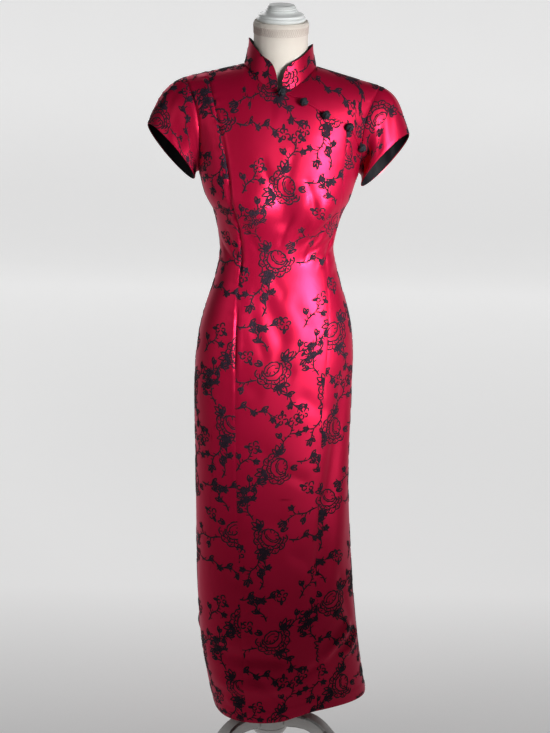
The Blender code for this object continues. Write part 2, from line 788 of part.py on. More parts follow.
def form_ring(height):
    """One ring of the dress form: the body's surface moved in, with flat sides at the armholes."""
    share = min(1.0, max(0.0, (height - UNDERARM) / ARCH))
    clearance = mix(FORM_CLEARANCE, FORM_SHOULDER_CLEARANCE, ease((share - 0.65) / 0.35))
    cut = mix(86.0, FORM_ARM_DEG, arm_share(height))
    points = []
    for start, end in ((-cut, cut), (180.0 - cut, 180.0 + cut)):
        for i in range(FORM_COLUMNS + 1):
            angle = mix(start, end, i / FORM_COLUMNS)
            points.append(lifted(angle, height, -CLOTH - clearance, False))
    return points


def form_heights():
    low = spread(FORM_BOTTOM, UNDERARM, 15)
    return low + [row for row in arm_heights(SHOULDER)[1:-1]] + [SHOULDER - 0.0025]


def build_form(cover, cap_material):
    rings = [form_ring(height) for height in form_heights()]
    bm = bmesh.new()
    rows = [[bm.verts.new(point) for point in ring] for ring in rings]
    count = len(rows[0])
    for low, high in zip(rows, rows[1:]):
        for i in range(count):
            k = (i + 1) % count
            bm.faces.new([low[i], low[k], high[k], high[i]])
    bm.faces.new(rows[0][::-1])
    top = rows[-1]
    last = count - 1
    for i in range(FORM_COLUMNS):
        bm.faces.new([top[i], top[i + 1], top[last - i - 1], top[last - i]])
    bmesh.ops.recalc_face_normals(bm, faces=bm.faces)
    bmesh.ops.triangulate(bm, faces=bm.faces)
    torso = add_object("form_torso", bm, cover)
    neck = build_neck(cover)
    union = torso.modifiers.new("neck", "BOOLEAN")
    union.operation = "UNION"
    union.object = neck
    turned("form_cap", neck_centre(1.0), neck_axis(), CAP_PROFILE, CAP_SIDES, cap_material)


def neck_axis():
    return Vector((0.0, -FORM_NECK_TILT, 1.0)).normalized()


def neck_centre(share):
    """The middle of the form's neck, from inside the shoulders to its top."""
    base = Vector((NECK_X, SHOULDER_LINE_Y, SHOULDER_LINE_Z - FORM_NECK_SUNK))
    top = Vector((NECK_X, SHOULDER_LINE_Y - FORM_NECK_LEAN, FORM_NECK_TOP))
    return base.lerp(top, share)


def build_neck(cover):
    """The form's neck, wider towards the shoulders, as a guide that is joined to the torso."""
    bm = bmesh.new()
    rings = []
    axis = neck_axis()
    ahead = Vector((0.0, -1.0, -FORM_NECK_TILT)).normalized()
    for k in range(FORM_NECK_STEPS + 1):
        share = k / FORM_NECK_STEPS
        radius = mix(FORM_NECK_BASE_RADIUS, FORM_NECK_RADIUS, math.sin(min(1.0, share * 1.6) * math.pi / 2.0))
        centre = neck_centre(share) - axis * (SEAM_GAP if k == FORM_NECK_STEPS else 0.0)
        ring = []
        for i in range(FORM_NECK_SIDES):
            turn = 2.0 * math.pi * i / FORM_NECK_SIDES
            side = Vector((math.sin(turn), 0.0, 0.0)) * radius + ahead * math.cos(turn) * radius
            ring.append(bm.verts.new(centre + side))
        rings.append(ring)
    for low, high in zip(rings, rings[1:]):
        for i in range(FORM_NECK_SIDES):
            k = (i + 1) % FORM_NECK_SIDES
            bm.faces.new([low[i], low[k], high[k], high[i]])
    bm.faces.new(rings[0][::-1])
    bm.faces.new(rings[-1])
    bmesh.ops.recalc_face_normals(bm, faces=bm.faces)
    neck = add_object("neck_guide", bm, cover)
    neck.hide_render = True
    neck.display_type = "WIRE"
    return neck


def turned(name, seat, axis, profile, sides, material):
    """A turned piece on an axis; each profile row is a height and a radius."""
    bm = bmesh.new()
    rings = []
    for height, radius in profile:
        ring = []
        for i in range(sides):
            turn = 2.0 * math.pi * i / sides
            ring.append(bm.verts.new((radius * math.cos(turn), radius * math.sin(turn), height)))
        rings.append(ring)
    for low, high in zip(rings, rings[1:]):
        for i in range(sides):
            k = (i + 1) % sides
            bm.faces.new([low[i], low[k], high[k], high[i]])
    bm.faces.new(rings[0][::-1])
    bm.faces.new(rings[-1])
    turn = Vector((0.0, 0.0, 1.0)).rotation_difference(axis)
    bmesh.ops.rotate(bm, verts=bm.verts, cent=(0, 0, 0), matrix=turn.to_matrix())
    bmesh.ops.translate(bm, verts=bm.verts, vec=seat)
    bmesh.ops.recalc_face_normals(bm, faces=bm.faces)
    bmesh.ops.triangulate(bm, faces=bm.faces)
    return add_object(name, bm, material)


def build_stand(wood, metal):
    up = Vector((0.0, 0.0, 1.0))
    narrow = HUB_RADIUS - HUB_CHAMFER
    hub = (
        (HUB_BOTTOM, narrow),
        (HUB_BOTTOM + HUB_CHAMFER, HUB_RADIUS),
        (HUB_TOP - HUB_CHAMFER, HUB_RADIUS),
        (HUB_TOP, narrow),
    )
    turned("form_hub", Vector((0.0, 0.0, 0.0)), up, hub, 24, wood)
    pole = ((HUB_TOP + SEAM_GAP, POLE_RADIUS), (FORM_BOTTOM - SEAM_GAP, POLE_RADIUS))
    turned("form_pole", Vector((0.0, 0.0, 0.0)), up, pole, 16, metal)
    last = len(LEG) - 1
    for number in range(3):
        turn = math.radians(FIRST_LEG_DEG + 120.0 * number)
        out = Vector((math.cos(turn), math.sin(turn), 0.0))
        across = Vector((-math.sin(turn), math.cos(turn), 0.0)) * LEG_WIDTH / 2.0
        bm = bmesh.new()
        rings = []
        for k, row in enumerate(LEG):
            ahead = LEG[min(last, k + 1)]
            behind = LEG[max(0, k - 1)]
            slope = math.atan2(ahead.up - behind.up, ahead.out - behind.out)
            if k in (0, last - 1, last):
                slope = 0.0
            half = (up * math.cos(slope) - out * math.sin(slope)) * LEG_DEPTH / 2.0
            centre = out * row.out + up * row.up
            ring = [centre - half - across, centre - half + across, centre + half + across, centre + half - across]
            rings.append([bm.verts.new(point) for point in ring])
        for low, high in zip(rings, rings[1:]):
            for i in range(4):
                k = (i + 1) % 4
                bm.faces.new([low[i], low[k], high[k], high[i]])
        bm.faces.new(rings[0][::-1])
        bm.faces.new(rings[-1])
        bmesh.ops.recalc_face_normals(bm, faces=bm.faces)
        bmesh.ops.triangulate(bm, faces=bm.faces)
        add_object("form_leg_" + str(number + 1), bm, wood)


def centre_model():
    """Moves every piece so that the whole stands with its box's middle on the origin."""
    depsgraph = bpy.context.evaluated_depsgraph_get()
    points = []
    for piece in bpy.context.scene.objects:
        if not piece.hide_render:
            mesh = piece.evaluated_get(depsgraph).to_mesh()
            points.extend(vert.co.copy() for vert in mesh.vertices)
    middle_x = (min(p.x for p in points) + max(p.x for p in points)) / 2.0
    middle_y = (min(p.y for p in points) + max(p.y for p in points)) / 2.0
    for piece in bpy.context.scene.objects:
        for vert in piece.data.vertices:
            vert.co.x -= middle_x
            vert.co.y -= middle_y


for old in list(bpy.data.objects):
    bpy.data.objects.remove(old)

red_satin = make_material("red_satin", (0.42, 0.006, 0.045), 0.33)
black_lining = make_material("black_lining", (0.010, 0.009, 0.012), 0.60)
black_knot = make_material("black_knot", (0.012, 0.010, 0.016), 0.65)
form_cover = make_material("form_cover", (0.78, 0.72, 0.62), 0.80)
white_paint = make_material("white_paint", (0.80, 0.77, 0.72), 0.45)
white_metal = make_material("white_metal", (0.80, 0.78, 0.74), 0.35)

build_fronts(red_satin)
build_backs(red_satin)
build_collar(red_satin, black_lining)
build_sleeves(red_satin, black_lining)
build_buttons(black_knot)
build_form(form_cover, white_paint)
build_stand(white_paint, white_metal)
centre_model()
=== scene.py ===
import cmath
import math
from collections import namedtuple

import bmesh
import bpy
import numpy as np
from mathutils import Matrix, Vector


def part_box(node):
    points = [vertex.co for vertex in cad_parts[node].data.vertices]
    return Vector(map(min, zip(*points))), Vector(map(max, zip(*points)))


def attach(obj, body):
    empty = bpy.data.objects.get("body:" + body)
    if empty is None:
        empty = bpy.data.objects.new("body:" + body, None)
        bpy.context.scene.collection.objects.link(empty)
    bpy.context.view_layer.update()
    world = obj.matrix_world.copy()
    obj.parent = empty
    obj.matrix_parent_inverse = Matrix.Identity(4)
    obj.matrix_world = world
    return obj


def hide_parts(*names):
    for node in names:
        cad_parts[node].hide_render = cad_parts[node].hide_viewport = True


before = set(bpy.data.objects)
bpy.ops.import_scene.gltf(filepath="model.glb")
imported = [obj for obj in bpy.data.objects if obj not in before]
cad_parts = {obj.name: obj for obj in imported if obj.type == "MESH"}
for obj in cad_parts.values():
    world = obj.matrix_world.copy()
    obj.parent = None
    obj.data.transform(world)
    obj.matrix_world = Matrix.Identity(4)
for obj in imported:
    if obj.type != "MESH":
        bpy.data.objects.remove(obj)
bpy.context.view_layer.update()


# The satin of the dress: a heavy duchesse satin, crimson warp floats over a darker weft.
# Light slides over the floats, so it shines pink where it faces the window and falls
# to a deep wine red where it turns away.
class Wire:
    """A value in a material's node tree; arithmetic on it adds the nodes."""

    def __init__(self, tree, socket=None):
        self.tree = tree
        self.socket = socket

    def node(self, kind, settings, inputs, out=0):
        made = self.tree.nodes.new(kind)
        for name, value in settings.items():
            setattr(made, name, value)
        for name, value in inputs.items():
            if isinstance(value, Wire):
                self.tree.links.new(value.socket, made.inputs[name])
            else:
                made.inputs[name].default_value = value
        return Wire(self.tree, made.outputs[out])

    def maths(self, operation, first, second=0.0):
        return self.node("ShaderNodeMath", {"operation": operation}, {0: first, 1: second})

    def __add__(self, other):
        return self.maths("ADD", self, other)

    def __sub__(self, other):
        return self.maths("SUBTRACT", self, other)

    def __rsub__(self, other):
        return self.maths("SUBTRACT", other, self)

    def __mul__(self, other):
        return self.maths("MULTIPLY", self, other)

    __radd__ = __add__
    __rmul__ = __mul__

    def in_space(self):
        return self.node("ShaderNodeTexCoord", {}, {}, 3)

    def on_weave(self):
        return self.node("ShaderNodeTexCoord", {}, {}, 2)

    def noise(self, scale, detail=2.0):
        return self.node("ShaderNodeTexNoise", {}, {"Vector": self, "Scale": scale, "Detail": detail})

    def blend(self, first, second):
        return self.node("ShaderNodeMix", {"data_type": "RGBA"},
                         {"Factor": self, "A": (*first, 1.0), "B": (*second, 1.0)}, 2)


def finish_of(name, constants):
    """A new material, its shader with the constants set, and a wire to its tree."""
    material = bpy.data.materials.new(name)
    material.use_nodes = True
    shader = material.node_tree.nodes["Principled BSDF"]
    for socket, value in constants.items():
        shader.inputs[socket].default_value = value
    return material, shader, Wire(material.node_tree)


def feed(wire, shader, socket):
    wire.tree.links.new(wire.socket, shader.inputs[socket])


def relief(wire, height, distance, strength=1.0):
    return wire.node("ShaderNodeBump", {}, {"Height": height, "Distance": distance, "Strength": strength})


def paint(value, shader, dark, bright, spread, rough):
    """A colour and a roughness that vary with the same value."""
    feed(value.blend(dark, bright), shader, "Base Color")
    feed(value * spread + rough, shader, "Roughness")


SATIN_DEEP = (0.34, 0.001, 0.022)
SATIN_BRIGHT = (0.51, 0.0026, 0.048)
satin, shader, wire = finish_of("crimson_satin", {
    "Metallic": 0.68, "Specular IOR Level": 0.55, "Specular Tint": (1.0, 0.62, 0.72, 1.0)
})
place = wire.in_space()
weave = wire.on_weave()
mottle = place.noise(9.0, 3.0)
slub = weave.node("ShaderNodeMapping", {}, {"Vector": weave, "Scale": (1400.0, 70.0, 1.0)}).noise(1.0, 2.0)
feed((mottle * 0.7 + slub * 0.3).blend(SATIN_DEEP, SATIN_BRIGHT), shader, "Base Color")
feed(mottle * 0.06 + slub * 0.08 + 0.37, shader, "Roughness")
feed(relief(wire, place.noise(24.0, 1.0) * 1.5 + slub * 0.06, 0.001, 0.5), shader, "Normal")


# The body of the dress, as its maker drafts it: level rings from the hem to the underarm,
# then an arch up to the shoulder line. Every panel is cut from this one surface, so the
# panels meet at their seams.
HEM = 0.127
UNDERARM = 1.3
ARCH = 0.285
SHOULDER = UNDERARM + ARCH
SHOULDER_LINE_Z = 1.513
SHOULDER_LINE_Y = 0.006
SHOULDER_SLOPE = 0.26
SHOULDER_FLAT_X = 0.072
SHOULDER_FLARE = 0.37
SHOULDER_LEAN = 0.02
ARCH_POWER = 0.88
ROUNDNESS = 2.35
NECK_X = -0.006
HEM_RISE_FROM = 0.33
FOLD_REACH = 0.15
CLOTH = 0.0012
SEAM_GAP = 0.0003
HALVINGS = 26
NECK_HALVINGS = 20
pole_low, pole_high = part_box("form_pole")
AXIS_X = (pole_low.x + pole_high.x) / 2.0
AXIS_Y = (pole_low.y + pole_high.y) / 2.0
AXIS = np.array([AXIS_X, AXIS_Y, 0.0])

Section = namedtuple("Section", "z right left front back twist")
SECTIONS = [
    Section(0.127, 0.122, 0.216, 0.104, 0.106, 14.0),
    Section(0.171, 0.134, 0.208, 0.108, 0.108, 13.0),
    Section(0.229, 0.145, 0.198, 0.111, 0.11, 12.0),
    Section(0.293, 0.155, 0.189, 0.112, 0.112, 10.5),
    Section(0.392, 0.162, 0.177, 0.111, 0.115, 8.5),
    Section(0.5, 0.165, 0.167, 0.11, 0.117, 7.0),
    Section(0.64, 0.168, 0.158, 0.11, 0.119, 5.0),
    Section(0.778, 0.171, 0.155, 0.109, 0.121, 4.0),
    Section(0.86, 0.172, 0.156, 0.108, 0.123, 4.0),
    Section(0.925, 0.169, 0.158, 0.107, 0.121, 4.0),
    Section(0.985, 0.16, 0.152, 0.104, 0.113, 4.0),
    Section(1.035, 0.147, 0.14, 0.1, 0.103, 4.0),
    Section(1.073, 0.135, 0.128, 0.096, 0.094, 4.0),
    Section(1.105, 0.127, 0.119, 0.094, 0.087, 4.0),
    Section(1.145, 0.122, 0.111, 0.095, 0.083, 4.0),
    Section(1.185, 0.127, 0.116, 0.104, 0.086, 4.0),
    Section(1.225, 0.137, 0.128, 0.117, 0.092, 4.0),
    Section(1.255, 0.153, 0.142, 0.121, 0.098, 3.0),
    Section(1.3, 0.166, 0.155, 0.117, 0.104, 2.0),
]
HemRow = namedtuple("HemRow", "angle rise")
HEM_RISES = [
    HemRow(-90.0, 0.003), HemRow(-40.0, 0.003), HemRow(0.0, 0.004), HemRow(20.0, 0.012),
    HemRow(38.0, 0.019), HemRow(66.0, 0.021), HemRow(96.0, 0.018), HemRow(125.0, 0.008),
    HemRow(165.0, 0.002), HemRow(225.0, 0.002), HemRow(270.0, 0.003),
]
Fold = namedtuple("Fold", "from_deg from_z to_deg to_z width depth")
FOLDS = [
    Fold(-2, 1.29, 0, 1.2, 0.03, 0.006),
    Fold(30, 1.27, 12, 1.15, 0.014, 0.004),
    Fold(50, 1.235, 28, 1.135, 0.01, 0.004),
    Fold(76, 1.22, 52, 1.12, 0.009, 0.004),
    Fold(84, 1.154, 9, 1.132, 0.012, 0.0012),
    Fold(-22, 1.06, 5, 0.96, 0.026, 0.0042),
    Fold(67, 0.9, 36, 0.4, 0.018, 0.007),
    Fold(80, 0.88, 52, 0.4, 0.022, -0.004),
    Fold(68, 0.34, 40, 0.258, 0.012, -0.007),
    Fold(77, 0.312, 61, 0.262, 0.01, -0.006),
    Fold(-64, 0.285, 10, 0.275, 0.02, 0.007),
    Fold(-68, 0.216, 10, 0.206, 0.018, -0.005),
    Fold(150, 1.15, 205, 1.14, 0.012, 0.004),
    Fold(160, 1.185, 215, 1.178, 0.011, 0.003),
    Fold(158, 0.8, 150, 0.22, 0.024, 0.006),
    Fold(212, 0.76, 216, 0.2, 0.026, 0.006),
    Fold(262, 0.33, 232, 0.235, 0.014, -0.006),
]
Cup = namedtuple("Cup", "angle z reach height")
CUPS = [Cup(-30.0, 1.238, 0.05, 0.01), Cup(36.0, 1.238, 0.05, 0.01)]


def mix(first, second, share):
    return first + (second - first) * share


def ease(value):
    value = np.clip(value, 0.0, 1.0)
    return value * value * (3.0 - 2.0 * value)


def read_row(table, column, at):
    """A column of a table between its rows, along a smooth curve."""
    keys = np.array([row[0] for row in table])
    values = np.array([getattr(row, column) for row in table])
    slopes = np.empty(len(keys))
    slopes[1:-1] = (values[2:] - values[:-2]) / (keys[2:] - keys[:-2])
    slopes[0] = (values[1] - values[0]) / (keys[1] - keys[0])
    slopes[-1] = (values[-1] - values[-2]) / (keys[-1] - keys[-2])
    at = np.clip(at, keys[0], keys[-1])
    i = np.clip(np.searchsorted(keys, at, side="right") - 1, 0, len(keys) - 2)
    step = keys[i + 1] - keys[i]
    u = (at - keys[i]) / step
    low = (2 * u ** 3 - 3 * u ** 2 + 1) * values[i] + (u ** 3 - 2 * u ** 2 + u) * step * slopes[i]
    return low + (-2 * u ** 3 + 3 * u ** 2) * values[i + 1] + (u ** 3 - u ** 2) * step * slopes[i + 1]


def away_from(angle, centre):
    return (angle - centre + 180.0) % 360.0 - 180.0


def fold_height(folds, angle, z):
    """How far a table of folds moves the cloth out at an angle and level."""
    total = np.zeros(np.broadcast(angle, z).shape)
    for fold in folds:
        run = math.radians(fold.to_deg - fold.from_deg) * FOLD_REACH
        rise = fold.to_z - fold.from_z
        length = math.hypot(run, rise)
        across = np.radians(away_from(angle, fold.from_deg)) * FOLD_REACH
        up = z - fold.from_z
        along = (across * run + up * rise) / length ** 2
        side = (across * rise - up * run) / length
        fade = ease((along + 0.15) / 0.35) * ease((1.15 - along) / 0.35)
        total = total - fold.depth * fade * np.exp(-(side / fold.width) ** 2)
    return total


def ring_point(angle, z):
    turn = np.radians(angle)
    sine = np.sin(turn)
    cosine = np.cos(turn)
    width = np.where(sine > 0, read_row(SECTIONS, "left", z), read_row(SECTIONS, "right", z))
    depth = np.where(cosine > 0, read_row(SECTIONS, "front", z), read_row(SECTIONS, "back", z))
    reach = ((np.abs(sine) / width) ** ROUNDNESS
             + (np.abs(cosine) / depth) ** ROUNDNESS) ** (-1.0 / ROUNDNESS)
    reach = reach + fold_height(FOLDS, angle, z)
    for cup in CUPS:
        far = np.hypot(np.radians(away_from(angle, cup.angle)) * FOLD_REACH, z - cup.z)
        reach = reach + cup.height * np.exp(-(far / cup.reach) ** 2)
    twist = np.radians(read_row(SECTIONS, "twist", z))
    x = reach * sine * np.cos(twist) + reach * cosine * np.sin(twist)
    y = reach * sine * np.sin(twist) - reach * cosine * np.cos(twist)
    rise = read_row(HEM_RISES, "rise", (angle + 90.0) % 360.0 - 90.0)
    return x, y, z + rise * ease((HEM_RISE_FROM - z) / (HEM_RISE_FROM - HEM))


def shoulder_z(x):
    drop = SHOULDER_SLOPE * np.maximum(0.0, np.abs(x - NECK_X) - SHOULDER_FLAT_X)
    return SHOULDER_LINE_Z - drop - SHOULDER_LEAN * x


def body_point(angle, height):
    """Points of the body's surface; angle 0 is the front, 90 the wearer's left."""
    angle, height = np.broadcast_arrays(np.asarray(angle, float), np.asarray(height, float))
    x, y, z = ring_point(angle, np.minimum(height, UNDERARM))
    share = np.clip((height - UNDERARM) / ARCH, 0.0, 1.0)
    phase = share * math.pi / 2.0
    x = np.where(share > 0, NECK_X + (x - NECK_X) * (1.0 + SHOULDER_FLARE * np.sin(phase) ** 1.5), x)
    arched = SHOULDER_LINE_Y + (y - SHOULDER_LINE_Y) * np.maximum(0.0, np.cos(phase)) ** ARCH_POWER
    y = np.where(share > 0, arched, y)
    z = np.where(share > 0, UNDERARM + (shoulder_z(x) - UNDERARM) * np.sin(phase), z)
    return np.stack([x, y, z], axis=-1)


def body_normal(angle, height):
    turn = 0.8
    rise = 0.004
    high = np.minimum(SHOULDER - 0.003, height + rise)
    low = np.minimum(np.maximum(HEM, height - rise), high - rise)
    level = np.minimum(height, high)
    across = body_point(angle + turn, level) - body_point(angle - turn, level)
    up = body_point(angle, high) - body_point(angle, low)
    normal = np.cross(across, up)
    return normal / np.linalg.norm(normal, axis=-1, keepdims=True)


def on_body(angle, height, lift):
    lift = np.asarray(lift)[..., None]
    return body_point(angle, height) + body_normal(angle, height) * lift


def halved_to(shape, under):
    """The heights above the underarm where a test stops holding, found by halving."""
    low = np.full(shape, UNDERARM)
    high = np.full(shape, SHOULDER)
    for _ in range(HALVINGS):
        middle = (low + high) / 2.0
        below = under(middle)
        low = np.where(below, middle, low)
        high = np.where(below, high, middle)
    return low, high


def level_height(angle, z):
    """The height along the surface where it reaches level z."""
    angle, z = np.broadcast_arrays(np.asarray(angle, float), np.asarray(z, float))
    low, high = halved_to(angle.shape, lambda height: body_point(angle, height)[..., 2] < z)
    return np.where(z <= UNDERARM, z, (low + high) / 2.0)


# Seams: two princess seams down the front, the side seams with their slits, the armholes,
# and the neck seam, an oval round the base of the neck.
SIDE_RIGHT = -91.0
SIDE_LEFT = 96.0
ARM_FRONT = 65.0
ARM_BACK = 117.0
SLIT_TOP = 0.5
SLIT_OPEN = 3.0
SLIT_TUCK = 0.006
NECK_HALF_WIDTH = 0.073
NECK_FRONT_DEPTH = 0.081
NECK_BACK_DEPTH = 0.064
NECK_SEAM_GAP = 0.0011
SeamRow = namedtuple("SeamRow", "height right left")
PRINCESS = [
    SeamRow(0.127, -38.0, 38.0), SeamRow(0.5, -40.0, 40.0), SeamRow(0.86, -43.0, 44.0),
    SeamRow(0.955, -44.5, 47.0), SeamRow(1.063, -47.5, 52.0), SeamRow(1.15, -47.0, 57.0),
    SeamRow(1.201, -44.5, 57.0), SeamRow(1.251, -44.5, 55.0), SeamRow(1.307, -48.0, 55.0),
    SeamRow(1.364, -50.5, 51.5), SeamRow(1.4, -51.0, 48.5), SeamRow(1.465, -51.0, 46.0),
    SeamRow(1.585, -50.0, 44.0),
]


def side_edge(side, half, height):
    """The outer edge of a panel: its side seam or slit, then the armhole."""
    seam = SIDE_LEFT if side > 0 else -SIDE_RIGHT
    arm = ARM_FRONT if half == "front" else ARM_BACK
    opening = 0.0 if half == "front" else SLIT_OPEN * ease((SLIT_TOP - height) / (SLIT_TOP - HEM))
    share = np.clip((height - UNDERARM) / (0.5 * ARCH), 0.0, 1.0)
    return side * mix(seam + opening, arm, np.sin(share * math.pi / 2.0) ** 0.6)


def neck_spot(turn_deg, grow=NECK_SEAM_GAP):
    """Angle and height on the body where the neck oval crosses it."""
    turn_deg = np.asarray(turn_deg, float)
    turn = np.radians(turn_deg)
    front = np.cos(turn) > 0
    target_x = NECK_X + (NECK_HALF_WIDTH + grow) * np.sin(turn)
    depth = np.where(front, NECK_FRONT_DEPTH, NECK_BACK_DEPTH) + grow
    target_y = SHOULDER_LINE_Y - depth * np.cos(turn)
    low = np.full(turn.shape, UNDERARM)
    high = np.full(turn.shape, SHOULDER)
    for _ in range(NECK_HALVINGS):
        height = (low + high) / 2.0
        left = np.where(front, -89.0, 91.0)
        right = np.where(front, 89.0, 269.0)
        for _ in range(NECK_HALVINGS):
            angle = (left + right) / 2.0
            short = (body_point(angle, height)[..., 0] < target_x) == front
            left = np.where(short, angle, left)
            right = np.where(short, right, angle)
        inside = (body_point(angle, height)[..., 1] < target_y) == front
        low = np.where(inside, height, low)
        high = np.where(inside, high, height)
    return angle, height


# The front overlaps the under panel along a slanting edge, from the middle of the collar
# to the left armhole.
LAYER_GAP = 0.0009
OVERLAP_LIFT = CLOTH + LAYER_GAP
OVERLAP_HIDDEN = 0.03
OVERLAP_MARGIN = 0.014
OVERLAP_RAMP = 0.035
OVERLAP_START = -4.0
OverlapRow = namedtuple("OverlapRow", "angle z")
OVERLAP = [
    OverlapRow(-4.0, 1.464), OverlapRow(14.0, 1.447), OverlapRow(31.0, 1.424),
    OverlapRow(49.0, 1.403), OverlapRow(65.0, 1.362),
]


def overlap_height(angle):
    return level_height(angle, read_row(OVERLAP, "z", np.maximum(angle, OVERLAP_START)))


fine_angles = np.linspace(-12.0, 118.0, 261)
fine_overlap = overlap_height(fine_angles)


def overlap_lift(angle, height):
    """How far the front is raised where it lies on the under panel."""
    below = np.interp(angle, fine_angles, fine_overlap) - height
    near = ease(1.0 - (below - OVERLAP_HIDDEN - OVERLAP_MARGIN) / OVERLAP_RAMP)
    lift = OVERLAP_LIFT * near * ease((angle - OVERLAP_START + 8.0) / 8.0)
    return np.where((angle < OVERLAP_START - 8.0) | (height < UNDERARM - 0.1), 0.0, lift)


def slit_tuck(angle, height):
    """The back lies a little inside the front along each slit."""
    seam = np.where(angle > 0, SIDE_LEFT, SIDE_RIGHT)
    near = np.exp(-((angle - seam) / 14.0) ** 2)
    return -SLIT_TUCK * near * ease((SLIT_TOP - height) / (SLIT_TOP - HEM))


def flat_lift(angle, height):
    return np.zeros(np.broadcast(angle, height).shape)


# Small soft creases of the worn cloth, on top of the big folds. Heights above
# the underarm run along the surface. A depth below zero is a ridge.
CREASES = [
    Fold(-51.0, 1.47, -48.0, 1.305, 0.004, 0.0014),
    Fold(-48.0, 1.305, -44.5, 1.205, 0.004, 0.0018),
    Fold(-44.5, 1.205, -47.2, 1.11, 0.004, 0.0018),
    Fold(-47.4, 1.44, -44.4, 1.305, 0.005, -0.001),
    Fold(-44.4, 1.305, -41.0, 1.205, 0.005, -0.0014),
    Fold(-41.0, 1.205, -43.6, 1.11, 0.005, -0.0012),
    Fold(-45.4, 1.04, -44.2, 0.905, 0.0035, 0.0022),
    Fold(-42.0, 1.035, -41.0, 0.915, 0.0045, -0.0014),
    Fold(-20, 1.33, -6, 1.262, 0.01, 0.0016),
    Fold(10, 1.35, 2, 1.28, 0.012, 0.0014),
    Fold(22, 1.3, 30, 1.218, 0.008, 0.0018),
    Fold(8, 1.232, -4, 1.168, 0.008, 0.002),
    Fold(44, 1.21, 18, 1.158, 0.006, 0.0022),
    Fold(60, 1.186, 32, 1.146, 0.005, 0.0018),
    Fold(72, 1.172, 44, 1.118, 0.006, -0.002),
    Fold(78, 1.15, 56, 1.142, 0.005, 0.0018),
    Fold(80, 1.2, 58, 1.186, 0.005, 0.0016),
    Fold(76, 1.176, 50, 1.16, 0.0045, 0.0015),
    Fold(84, 1.112, 62, 1.102, 0.005, 0.0014),
    Fold(82, 1.13, 60, 1.118, 0.005, -0.001),
    Fold(-40, 1.21, -28, 1.15, 0.007, 0.0016),
    Fold(-62, 1.19, -48, 1.12, 0.008, 0.0018),
    Fold(-78, 1.165, -58, 1.132, 0.006, 0.002),
    Fold(-12, 1.1, 4, 1.06, 0.014, 0.0012),
    Fold(-38, 1.04, -16, 0.93, 0.014, 0.0018),
    Fold(-38, 1.085, -35, 0.99, 0.01, -0.001),
    Fold(-31, 1.07, -26, 0.985, 0.014, 0.001),
    Fold(14, 1.05, 34, 0.985, 0.02, 0.0014),
    Fold(-8, 0.93, 14, 0.9, 0.02, 0.0018),
    Fold(20, 0.86, 48, 0.815, 0.018, 0.0018),
    Fold(-52, 0.9, -20, 0.86, 0.018, 0.002),
    Fold(-46, 0.76, -10, 0.735, 0.02, 0.0016),
    Fold(4, 0.7, 30, 0.672, 0.016, 0.0016),
    Fold(-30, 0.6, 6, 0.585, 0.022, 0.0018),
    Fold(10, 0.52, 42, 0.48, 0.018, 0.0018),
    Fold(-56, 0.46, -16, 0.44, 0.02, 0.002),
    Fold(-6, 0.39, 30, 0.35, 0.016, 0.0022),
    Fold(24, 0.225, 60, 0.3, 0.012, 0.0026),
    Fold(-30, 0.245, 0, 0.18, 0.014, 0.0024),
    Fold(-58, 0.18, -36, 0.15, 0.01, -0.0018),
    Fold(58, 0.47, 72, 0.3, 0.01, 0.002),
    Fold(120, 1.21, 150, 1.16, 0.01, 0.0024),
    Fold(140, 1.12, 196, 1.105, 0.009, 0.0024),
    Fold(232, 1.2, 206, 1.165, 0.009, 0.0022),
    Fold(170, 1.075, 222, 1.06, 0.012, 0.0018),
    Fold(130, 0.9, 168, 0.86, 0.02, 0.002),
    Fold(190, 0.88, 236, 0.85, 0.022, 0.002),
    Fold(128, 0.56, 176, 0.52, 0.022, 0.0022),
    Fold(186, 0.42, 232, 0.38, 0.018, 0.002),
    Fold(110, 0.33, 140, 0.24, 0.012, -0.0026),
    Fold(160, 1.42, 206, 1.38, 0.018, 0.0018),
    Fold(132, 1.36, 160, 1.3, 0.014, 0.002),
    Fold(228, 1.37, 204, 1.3, 0.014, 0.002),
]


# Each panel is a piece of satin a millimetre thick, sewn to its neighbours along its edges.
# Beside a seam the cloth rolls in and puckers a little; at the hem it is turned up and
# blind stitched.
ROLL_WIDTH = 0.0028
ROLL_DEPTH = 0.0008
WELT_WIDTH = 0.005
WELT_HEIGHT = 0.0003
PUCKER_REACH = 0.014
PUCKER = 0.00032
PUCKER_CLOSE = 310.0
PUCKER_WIDE = 197.0
WELT_PLACE = 0.0065
STITCHED = 0.004
HEM_TURNING = 0.03
LOW_ROWS = 276
HIGH_ROWS = 62
EDGE_SHARES = (0.0, 0.01, 0.022, 0.038, 0.058, 0.085, 0.12)


def across_shares(count, first=True, last=True):
    """Shares across a panel, closer together beside its seams."""
    start = EDGE_SHARES[-1] if first else 0.0
    end = 1.0 - EDGE_SHARES[-1] if last else 1.0
    inner = list(np.linspace(start, end, count))
    low = list(EDGE_SHARES[:-1]) if first else []
    high = [1.0 - share for share in EDGE_SHARES[-2::-1]] if last else []
    return np.array(low + inner + high)


def seam_relief(distance, height, phase):
    """The rolled seam, the welt beside it and the puckers it draws in the cloth."""
    roll = -ROLL_DEPTH * np.exp(-(distance / ROLL_WIDTH) ** 2)
    welt = WELT_HEIGHT * np.exp(-((distance - WELT_PLACE) / WELT_WIDTH) ** 2)
    wave = np.sin(height * PUCKER_CLOSE + phase) + 0.7 * np.sin(height * PUCKER_WIDE + 1.7 * phase)
    drawn = PUCKER * wave * np.exp(-(distance / PUCKER_REACH) ** 2)
    away = 1.0 - np.exp(-(distance / STITCHED) ** 2)
    firm = 0.3 + 0.7 * ease((height - 0.8) / 0.16)
    return (roll + (welt + drawn) * away) * firm


def in_scene(name, data):
    made = bpy.data.objects.new(name, data)
    bpy.context.scene.collection.objects.link(made)
    return made


